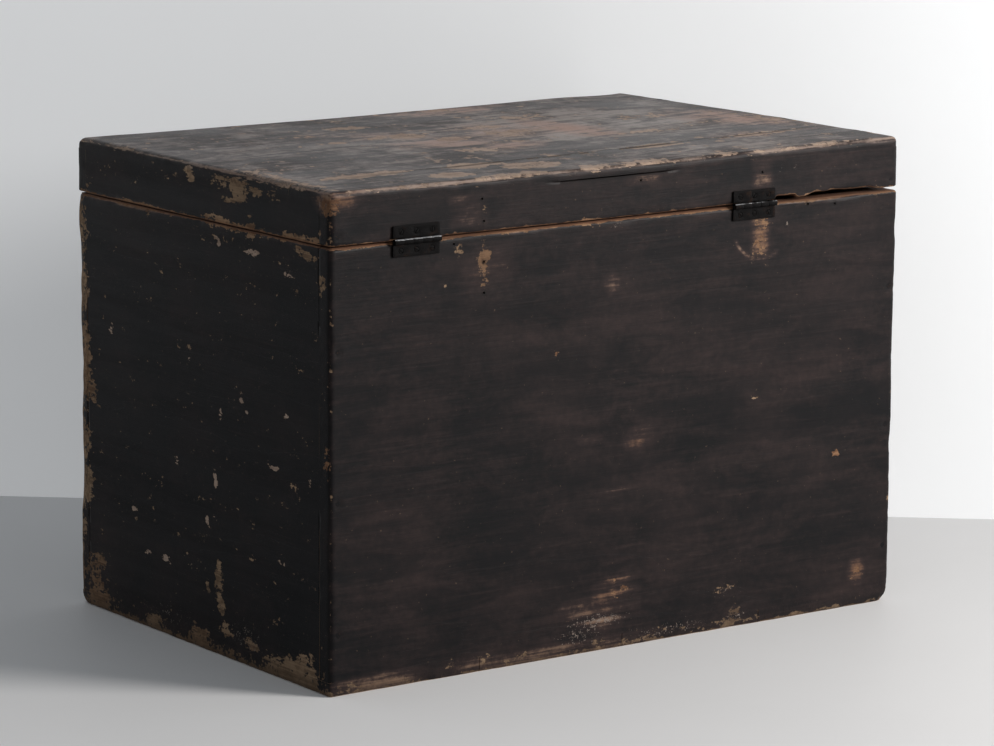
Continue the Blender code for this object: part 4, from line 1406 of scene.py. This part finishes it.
@built_once("materials")
def painted_wood():
    """Black paint that is rubbed thin, flaked off and dusty, over pine; the top's pale tint is partly a painted
    sheen.
    """
    finish = bpy.context.scene.chest_finish
    material, tree, shader, space = new_material("painted_wood")
    grain = place_group(tree, pine_grain(), Vector=read_attribute(tree, "grain", "Vector"))
    fibre, rings = grain["Fibre"], grain["Rings"]
    rubbed = place_group(tree, rubbing(), Vector=read_attribute(tree, "rub", "Vector"))
    streak, patch = rubbed["Streak"], rubbed["Patch"]
    spots = place_group(tree, speckle(), Vector=space)
    mottle, grit, dust = spots["Mottle"], spots["Grit"], spots["Dust"]
    torn = read_attribute(tree, "flake", "Vector")
    flakes = place_group(tree, flaking(), Vector=torn, Strength=read_attribute(tree, "lost"), Streak=streak)
    bare = flakes["Bare"]
    paint = colour_mix(tree, stepped(tree, mottle, 0.35, 0.7), rgba(finish.paint), rgba(finish.brown_paint))
    thin = read_attribute(tree, "thin")
    scuffed = calculate(tree, "MULTIPLY", thin, calculate(tree, "SUBTRACT", rubbed["Scuff"], 0.5))
    ground = weighted_sum(tree, (thin, 1.0), (patch, 0.6), (streak, 0.16), (fibre, 0.12), (mottle, 0.6),
                          (grit, 1.0), (scuffed, 0.55))
    ground = calculate(tree, "SUBTRACT", ground, 0.5)
    paint = colour_mix(tree, stepped(tree, ground, 0.65, 2.15), paint, rgba(finish.stained_paint))
    late = weighted_sum(tree, (fibre, 0.45), (rings, 0.15), (mottle, 0.3), (patch, 0.3), (grit, 0.8))
    age = stepped(tree, late, 0.72, 1.28)
    orange = colour_mix(tree, age, rgba(finish.seam_wood_dark), rgba(finish.seam_wood))
    warm = read_attribute(tree, "warm")
    dirt = calculate(tree, "MULTIPLY", read_attribute(tree, "grime"), 0.8)
    # The top's pale tint: bleached wood, and partly a painted sheen
    bleach_and_sheen = read_attribute(tree, "bleach_and_sheen")
    shown = colour_mix(tree, bleach_and_sheen, rgba(finish.thin_paint), rgba(finish.top_paint))
    shown = colour_mix(tree, warm, shown, colour_mix(tree, bleach_and_sheen, orange, rgba(finish.top_red)))
    shown = colour_mix(tree, dirt, shown, rgba(finish.dirty_wood))
    paint = colour_mix(tree, stepped(tree, ground, 1.55, 2.55), paint, shown)
    rim = calculate(tree, "MULTIPLY", flakes["Rim"], 0.5)
    paint = colour_mix(tree, rim, paint, rgba(finish.dirty_wood))
    scratched = calculate(tree, "MULTIPLY", stepped(tree, fibre, 0.80, 0.95), 0.3)
    paint = colour_mix(tree, scratched, paint, rgba(finish.stained_paint))
    specks = calculate(tree, "MULTIPLY", spots["Specks"], 0.5)
    paint = colour_mix(tree, specks, paint, rgba(finish.bare_wood_dark))
    wood = colour_mix(tree, age, rgba(finish.bare_wood_dark), rgba(finish.bare_wood))
    wood = colour_mix(tree, warm, wood, orange)
    # Bleached bare wood on the top, partly a painted sheen
    faded_and_sheen = calculate(tree, "MULTIPLY", bleach_and_sheen, calculate(tree, "MULTIPLY_ADD", age, 0.5, 0.5))
    wood = colour_mix(tree, faded_and_sheen, wood, rgba(finish.bleached_wood))
    wood = colour_mix(tree, dirt, wood, rgba(finish.dirty_wood))
    colour = colour_mix(tree, bare, paint, wood)
    crumbled, pale = stretched(tree, space, CRUMB_STRETCH), read_attribute(tree, "pale")
    crumbs = place_group(tree, flaking(), Vector=crumbled, Strength=pale, Streak=fibre)
    colour = colour_mix(tree, crumbs["Bare"], colour, rgba(finish.pale))
    colour = colour_mix(tree, read_attribute(tree, "dark"), colour, rgba(finish.crack))
    feed(tree, shader.inputs["Base Color"], colour)
    gloss = weighted_sum(tree, (dust, 0.16), (streak, 0.14), (mottle, 0.12))
    gloss = calculate(tree, "ADD", gloss, 0.22)
    shader.inputs["Specular IOR Level"].default_value = 0.10
    feed(tree, shader.inputs["Roughness"], value_mix(tree, bare, gloss, 0.78))
    height = weighted_sum(tree, (fibre, 0.20), (rings, 0.10), (patch, 0.25), (bare, -0.55),
                          (crumbs["Bare"], 0.3), (dust, 0.06))
    raise_surface(tree, shader, height, distance=0.00045)
    return material


@built_once("materials")
def inside_wood():
    """Unpainted pine, darkened with age, on the inside and the rims, with a painted shade in the seam's gap."""
    finish = bpy.context.scene.chest_finish
    material, tree, shader, space = new_material("inside_wood")
    grain = place_group(tree, pine_grain(), Vector=read_attribute(tree, "grain", "Vector"))
    fibre, rings = grain["Fibre"], grain["Rings"]
    streak = place_group(tree, rubbing(), Vector=read_attribute(tree, "rub", "Vector"))["Streak"]
    spots = place_group(tree, speckle(), Vector=space)
    late = stepped(tree, weighted_sum(tree, (rings, 0.75), (fibre, 0.3), (streak, 0.35)), 0.25, 1.1)
    wood = colour_mix(tree, late, rgba(finish.inside_wood), rgba(finish.inside_wood_dark))
    dirt = stepped(tree, weighted_sum(tree, (spots["Mottle"], 1.0), (streak, 0.4)), 0.6, 1.0)
    wood = colour_mix(tree, calculate(tree, "MULTIPLY", dirt, 0.55), wood, rgba(finish.inside_dirt))
    # A painted shade of the seam's gap, darkening the bare rims towards the seam
    wood = colour_mix(tree, read_attribute(tree, "warm"), wood, rgba(finish.seam_wood_dark))
    feed(tree, shader.inputs["Base Color"], wood)
    gloss = weighted_sum(tree, (fibre, 0.15), (spots["Dust"], 0.15))
    feed(tree, shader.inputs["Roughness"], calculate(tree, "ADD", gloss, 0.55))
    raise_surface(tree, shader, weighted_sum(tree, (fibre, 0.5), (rings, 0.35)), distance=0.0004)
    return material


@built_once("materials")
def black_iron():
    """Blackened iron with rust in its hollows, painted glints, and painted highlights, partly rubbed iron, from
    the attribute.
    """
    finish = bpy.context.scene.chest_finish
    material, tree, shader, space = new_material("black_iron")
    pits = noise(tree, space, scale=700.0, detail=4.0, roughness=0.65)
    blotch = noise(tree, space, scale=130.0, detail=4.0, roughness=0.6)
    # A painted highlight from the attribute, partly rubbed bright iron, broken up by pits and blotches
    rubbed = weighted_sum(tree, (read_attribute(tree, "bright"), 1.0), (pits, 0.7), (blotch, 0.9))
    bright = stepped(tree, rubbed, 1.45, 1.75)
    rust = calculate(tree, "MULTIPLY", stepped(tree, blotch, 0.55, 0.68), 0.25)
    colour = colour_mix(tree, rust, rgba(finish.iron), rgba(finish.rust))
    # Painted glints: small specks of bright iron over the surface
    glint = calculate(tree, "MULTIPLY", stepped(tree, pits, 0.62, 0.72), 0.08)
    colour = colour_mix(tree, glint, colour, rgba(finish.iron_worn))
    feed(tree, shader.inputs["Base Color"], colour_mix(tree, bright, colour, rgba(finish.iron_worn)))
    feed(tree, shader.inputs["Metallic"], calculate(tree, "MULTIPLY", bright, 0.95))
    dull = weighted_sum(tree, (pits, 0.3), (rust, 0.35))
    shader.inputs["Specular IOR Level"].default_value = 0.05
    feed(tree, shader.inputs["Roughness"], value_mix(tree, bright, calculate(tree, "ADD", dull, 0.5), 0.3))
    raise_surface(tree, shader, weighted_sum(tree, (pits, 0.5), (blotch, 0.7)), distance=0.0005)
    return material


@built_once("materials")
def painted_nail():
    """A nail's head under the chest's paint, with rust coming through."""
    finish = bpy.context.scene.chest_finish
    material, tree, shader, space = new_material("painted_nail")
    spots = place_group(tree, speckle(), Vector=space)
    pits = noise(tree, space, scale=500.0, detail=4.0, roughness=0.65)
    rust = calculate(tree, "MULTIPLY", stepped(tree, pits, 0.56, 0.68), 0.6)
    feed(tree, shader.inputs["Base Color"], colour_mix(tree, rust, rgba(finish.paint), rgba(finish.rust)))
    shader.inputs["Specular IOR Level"].default_value = 0.08
    feed(tree, shader.inputs["Roughness"], calculate(tree, "MULTIPLY_ADD", spots["Dust"], 0.3, 0.35))
    raise_surface(tree, shader, pits, distance=0.0003)
    return material


# Hinges


def leaf_mesh(node):
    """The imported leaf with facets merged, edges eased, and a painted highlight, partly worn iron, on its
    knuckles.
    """
    mesh = frame["nodes"][node].data.copy()
    mesh.name = node
    bm = bmesh.new()
    bm.from_mesh(mesh)
    bmesh.ops.remove_doubles(bm, verts=bm.verts, dist=LEAF_MERGE)
    bmesh.ops.dissolve_limit(bm, angle_limit=LEAF_FLAT, verts=bm.verts, edges=bm.edges)
    sharp = [edge for edge in bm.edges if edge.is_manifold and edge.calc_face_angle() > LEAF_CORNER]
    bmesh.ops.bevel(bm, geom=sharp, offset=LEAF_EASE, segments=2, profile=0.5, affect="EDGES", material=-1,
                    clamp_overlap=True)
    bmesh.ops.triangulate(bm, faces=[face for face in bm.faces if len(face.verts) > 4])
    bm.to_mesh(mesh)
    bm.free()
    points = vertex_places(mesh)
    # A painted highlight, partly rubbed bright iron, along the outer top of the barrel
    barrel_highlight = BARREL_HIGHLIGHT[node.split("_")[0]] * smooth(*HIGHLIGHT_REACH, points[:, 1] - BACK_Y)
    store(mesh, "bright", "FLOAT", barrel_highlight * smooth(*HIGHLIGHT_RISE, points[:, 2] - PIN_Z))
    dress(mesh, SHARP_LEAF, black_iron())
    return mesh


def screw_mesh(node, turn):
    """A countersunk screw: a slotted head on a tapered shank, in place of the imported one."""
    low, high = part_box(node)
    middle = (low + high) / 2
    radius = (high.x - low.x) / 2
    head = radius * SCREW_HEAD
    bm = bmesh.new()
    bmesh.ops.create_cone(bm, cap_ends=True, segments=SCREW_SIDES, radius1=radius * SCREW_NECK,
                          radius2=radius, depth=head)
    top = max(bm.faces, key=lambda face: face.calc_center_median().z)
    foot = min(bm.faces, key=lambda face: face.calc_center_median().z)
    shank = bmesh.ops.extrude_discrete_faces(bm, faces=[foot])["faces"][0]
    bmesh.ops.translate(bm, verts=shank.verts, vec=(0.0, 0.0, -(high.y - low.y - head)))
    bmesh.ops.scale(bm, verts=shank.verts, vec=(SCREW_TAPER, SCREW_TAPER, 1.0))
    bmesh.ops.bevel(bm, geom=list(top.edges), offset=SCREW_EASE, segments=2, profile=0.5, affect="EDGES",
                    material=-1)
    level = max(vert.co.z for vert in bm.verts)
    for at in (-HALF_SLOT, HALF_SLOT):
        cut_across(bm, 1, at)
    slot = []
    for face in bm.faces:
        centre = face.calc_center_median()
        if abs(centre.y) < HALF_SLOT and centre.z > level - LEVEL:
            slot.append(face)
    sunk = bmesh.ops.extrude_face_region(bm, geom=slot)["geom"]
    floor = [item for item in sunk if isinstance(item, bmesh.types.BMVert)]
    bmesh.ops.translate(bm, verts=floor, vec=(0.0, 0.0, -SLOT_DEPTH))
    bmesh.ops.delete(bm, geom=[face for face in slot if face.is_valid], context="FACES")
    bmesh.ops.rotate(bm, verts=bm.verts, cent=(0, 0, 0), matrix=Matrix.Rotation(turn, 3, "Z"))
    bmesh.ops.rotate(bm, verts=bm.verts, cent=(0, 0, 0), matrix=Matrix.Rotation(-math.pi / 2, 3, "X"))
    reach = max(vert.co.y for vert in bm.verts)
    bmesh.ops.translate(bm, verts=bm.verts, vec=(middle.x, high.y - reach, middle.z))
    bmesh.ops.recalc_face_normals(bm, faces=bm.faces)
    # A painted highlight, partly rubbed bright iron, round the rim of the head
    rims = []
    for vert in bm.verts:
        away = math.hypot(vert.co.x - middle.x, vert.co.z - middle.z)
        rims.append(SCREW_RIM_HIGHLIGHT if away > SCREW_RIM * radius and vert.co.y > high.y - SCREW_FACE else 0.0)
    mesh = mesh_from(bm, node)
    store(mesh, "bright", "FLOAT", rims)
    dress(mesh, SHARP_SCREW, black_iron())
    return mesh


# Stage


def direction(turn, lift):
    """Points from the middle towards an azimuth, counted from the front, and an elevation."""
    return Vector((math.sin(turn) * math.cos(lift), -math.cos(turn) * math.cos(lift), math.sin(lift)))


def set_camera(stage):
    """A camera that aims beside the middle of the back's foot, with the photograph's angle and lens."""
    back = direction(stage.azimuth, stage.elevation)
    right = Vector((math.cos(stage.azimuth), math.sin(stage.azimuth), 0.0))
    up = back.cross(right)
    level_right = right * math.cos(stage.roll) - up * math.sin(stage.roll)
    level_up = right * math.sin(stage.roll) + up * math.cos(stage.roll)
    foot = Vector(((LEFT_X + RIGHT_X) / 2, BACK_Y, 0.0))
    aim = foot + level_right * stage.aim_right + level_up * stage.aim_up
    data = bpy.data.cameras.new("camera")
    data.sensor_width = SENSOR_WIDTH
    data.lens = stage.lens
    camera = add_object("camera", data)
    turned = Matrix((level_right, level_up, back)).transposed()
    camera.matrix_world = Matrix.Translation(aim + back * stage.distance) @ turned.to_4x4()
    bpy.context.scene.camera = camera


def plain_surface(name, colour, roughness, unevenness):
    material, tree, shader, space = new_material(name)
    cloud = noise(tree, space, scale=2.5, detail=4.0, roughness=0.6)
    shade = tuple(channel * (1.0 - unevenness) for channel in colour)
    feed(tree, shader.inputs["Base Color"], colour_mix(tree, cloud, rgba(colour), rgba(shade)))
    shader.inputs["Roughness"].default_value = roughness
    shader.inputs["Specular IOR Level"].default_value = 0.2
    return material, tree, shader


def stage_plane(name, half_width, half_height, place, turn, material):
    bm = bmesh.new()
    bmesh.ops.create_grid(bm, x_segments=1, y_segments=1, size=1.0)
    bmesh.ops.scale(bm, vec=(half_width, half_height, 1.0), verts=bm.verts)
    mesh = mesh_from(bm, name)
    mesh.materials.append(material)
    plane = add_object(name, mesh)
    plane.matrix_world = Matrix.Translation(place) @ turn.to_4x4()
    return plane


def set_floor(stage):
    """A floor under the chest and a pale backdrop close behind it, which can't be seen from its back."""
    floor, _, _ = plain_surface("pale_floor", stage.floor, roughness=0.55, unevenness=0.06)
    stage_plane("floor", FLOOR_HALF, FLOOR_HALF, Vector((0.0, 0.0, 0.0)), Matrix.Identity(3), floor)
    wall, tree, shader = plain_surface("pale_backdrop", stage.backdrop, roughness=0.9, unevenness=0.04)
    path = add_node(tree, "ShaderNodeLightPath").outputs
    seen = calculate(tree, "MAXIMUM", path["Is Camera Ray"], path["Is Glossy Ray"])
    seen = calculate(tree, "MAXIMUM", seen, path["Is Transmission Ray"])
    feed(tree, shader.inputs["Emission Strength"], calculate(tree, "MULTIPLY", seen, BACKDROP_GLOW))
    shader.inputs["Emission Color"].default_value = (1.0, 1.0, 1.0, 1.0)
    clear = add_node(tree, "ShaderNodeBsdfTransparent")
    choice = add_node(tree, "ShaderNodeMixShader")
    feed(tree, choice.inputs[0], add_node(tree, "ShaderNodeNewGeometry").outputs["Backfacing"])
    feed(tree, choice.inputs[1], shader.outputs["BSDF"])
    feed(tree, choice.inputs[2], clear.outputs["BSDF"])
    feed(tree, tree.nodes["Material Output"].inputs["Surface"], choice.outputs["Shader"])
    turn = Matrix((UP.cross(BACKDROP_FACING), UP, BACKDROP_FACING)).transposed()
    place = BACKDROP_FACING * -BACKDROP_BEHIND + UP * BACKDROP_LIFT
    backdrop = stage_plane("backdrop", *BACKDROP_HALF, place, turn, wall)
    backdrop.visible_diffuse = False
    backdrop.visible_shadow = False


def set_lights(stage):
    """One soft key light, and even light from all round."""
    data = bpy.data.lights.new("key", "AREA")
    data.shape = "DISK"
    data.size = KEY_SIZE
    data.energy = stage.key_power
    data.color = KEY_COLOUR
    key = add_object("key", data)
    towards = direction(KEY_AZIMUTH, KEY_ELEVATION)
    key.location = UP * KEY_AIM + towards * KEY_DISTANCE
    key.rotation_euler = towards.to_track_quat("Z", "Y").to_euler()
    world = bpy.data.worlds.new("studio")
    world.use_nodes = True
    sky = world.node_tree.nodes["Background"]
    sky.inputs["Color"].default_value = SKY_COLOUR
    sky.inputs["Strength"].default_value = stage.ambient
    bpy.context.scene.world = world


# Operators


def rounding(**sides):
    """How far each side's edges are rounded, in millimetres."""
    names = {"left": "-X", "right": "+X", "front": "-Y", "back": "+Y", "foot": "-Z", "top": "+Z"}
    widths = dict.fromkeys(SIDES, 0.0)
    for name, width in sides.items():
        widths[names[name]] = width
    return widths


def wall_boards(name, grain, painted, closed, step, rim, **worn):
    """The lower and the upper board of a wall; the upper one is also rounded at its rim."""
    lower = Board(name + "_lower_board", grain, painted, closed, rounding(**worn), step * MM)
    return lower, lower._replace(node=name + "_upper_board", rounding=rounding(top=rim, **worn))


class CHEST_OT_walls(bpy.types.Operator):
    """Build the eight boards of the front, the back and the ends"""

    bl_idname = "chest.walls"
    bl_label = "Walls"

    def execute(self, context):
        boards = [
            *wall_boards("back", "X", ("+Y", "-X", "+X"), (), step=3.0, rim=4.5,
                         back=5.0, front=0.6, left=5.0, right=5.0),
            *wall_boards("front", "X", ("-Y", "-X", "+X"), (), step=4.0, rim=4.5,
                         front=5.0, back=0.6, left=5.0, right=5.0),
            *wall_boards("right_end", "Y", ("+X",), ("-Y", "+Y"), step=3.0, rim=3.0,
                         right=2.0, front=0.7, back=0.7),
            *wall_boards("left_end", "Y", ("-X",), ("-Y", "+Y"), step=4.0, rim=3.0,
                         left=2.0, front=0.7, back=0.7),
        ]
        for board in boards:
            make_board(board, context.scene.chest_wear)
        return {"FINISHED"}


class CHEST_OT_bottom(bpy.types.Operator):
    """Build the boards of the bottom"""

    bl_idname = "chest.bottom"
    bl_label = "Bottom"

    def execute(self, context):
        names = [node for node in NODES if node.startswith("bottom_board")]
        for node in names:
            painted = ["+Y", "-Y"]
            worn = {"front": 3.0, "back": 3.0, "foot": 3.0, "left": 0.3, "right": 0.3}
            if node == names[0]:
                painted.append("-X")
                worn["left"] = 4.5
            if node == names[-1]:
                painted.append("+X")
                worn["right"] = 4.5
            board = Board(node, "Y", tuple(painted), ("+Z",), rounding(**worn), step=4.0 * MM)
            make_board(board, context.scene.chest_wear)
        return {"FINISHED"}


class CHEST_OT_lid(bpy.types.Operator):
    """Build the rails and the top boards of the lid"""

    bl_idname = "chest.lid"
    bl_label = "Lid"

    def execute(self, context):
        boards = [
            Board("lid_back_rail", "X", ("+Y", "-X", "+X"), ("+Z",),
                  rounding(back=6.0, front=0.6, left=7.0, right=7.0, foot=2.5, top=HAIRLINE), step=2.8 * MM),
            Board("lid_front_rail", "X", ("-Y", "-X", "+X"), ("+Z",),
                  rounding(front=6.0, back=0.6, left=7.0, right=7.0, foot=2.5), step=3.5 * MM),
            Board("lid_right_rail", "Y", ("+X",), ("-Y", "+Y", "+Z"),
                  rounding(right=2.0, front=0.3, back=0.3, foot=2.5), step=2.8 * MM),
            Board("lid_left_rail", "Y", ("-X",), ("-Y", "+Y", "+Z"),
                  rounding(left=2.0, front=0.3, back=0.3, foot=2.5), step=3.5 * MM),
            Board("top_back_board", "X", ("+Z", "+Y", "-X", "+X"), (),
                  rounding(top=7.5, back=7.0, left=8.5, right=8.5, front=0.9, foot=HAIRLINE), step=3.0 * MM),
            Board("top_wide_board", "X", ("+Z", "-Y", "-X", "+X"), (),
                  rounding(top=7.5, front=7.0, left=8.5, right=8.5, back=0.9), step=3.6 * MM),
        ]
        for board in boards:
            make_board(board, context.scene.chest_wear)
        return {"FINISHED"}


class CHEST_OT_hinges(bpy.types.Operator):
    """Build the leaves, pins and screws of the two hinges"""

    bl_idname = "chest.hinges"
    bl_label = "Hinges"

    def execute(self, context):
        rng = np.random.default_rng(BENCH_SEED)
        for node in NODES:
            if node.endswith("_leaf"):
                add_piece(node + "_dressed", leaf_mesh(node), node)
            elif "_screw_" in node:
                turn = rng.uniform(0.0, math.pi)
                add_piece(node + "_dressed", screw_mesh(node, turn), node)
            elif node.endswith("_pin"):
                give_material(node, black_iron())
        return {"FINISHED"}


class CHEST_OT_nails(bpy.types.Operator):
    """Paint the heads of the nails"""

    bl_idname = "chest.nails"
    bl_label = "Nails"

    def execute(self, context):
        for node in NODES:
            if "_nail" in node:
                give_material(node, painted_nail())
        return {"FINISHED"}


class CHEST_OT_stage(bpy.types.Operator):
    """Set the camera, the pale floor and backdrop and the soft light"""

    bl_idname = "chest.stage"
    bl_label = "Stage"

    def execute(self, context):
        stage = context.scene.chest_stage
        set_camera(stage)
        set_floor(stage)
        set_lights(stage)
        context.scene.view_settings.view_transform = "Standard"
        return {"FINISHED"}


class CHEST_PT_sidebar(bpy.types.Panel):
    """The chest's settings and the operators that build it"""

    bl_label = "Painted Wooden Chest"
    bl_idname = "CHEST_PT_sidebar"
    bl_space_type = "VIEW_3D"
    bl_region_type = "UI"
    bl_category = "Chest"

    def draw(self, context):
        for operator in OPERATORS:
            self.layout.operator(operator.bl_idname)
        for group in (context.scene.chest_finish, context.scene.chest_wear, context.scene.chest_stage):
            column = self.layout.column()
            for name in group.__annotations__:
                column.prop(group, name)


OPERATORS = (CHEST_OT_walls, CHEST_OT_bottom, CHEST_OT_lid, CHEST_OT_hinges, CHEST_OT_nails, CHEST_OT_stage)
GROUPS = (ChestFinish, ChestWear, ChestStage)


def register():
    for kind in (*GROUPS, *OPERATORS, CHEST_PT_sidebar):
        bpy.utils.register_class(kind)
    bpy.types.Scene.chest_finish = PointerProperty(type=ChestFinish)
    bpy.types.Scene.chest_wear = PointerProperty(type=ChestWear)
    bpy.types.Scene.chest_stage = PointerProperty(type=ChestStage)


def unregister():
    del bpy.types.Scene.chest_stage
    del bpy.types.Scene.chest_wear
    del bpy.types.Scene.chest_finish
    for kind in reversed((*GROUPS, *OPERATORS, CHEST_PT_sidebar)):
        bpy.utils.unregister_class(kind)


def main():
    register()
    bpy.ops.chest.stage()
    bpy.ops.chest.walls()
    bpy.ops.chest.bottom()
    bpy.ops.chest.lid()
    bpy.ops.chest.hinges()
    bpy.ops.chest.nails()


if __name__ == "__main__":
    main()
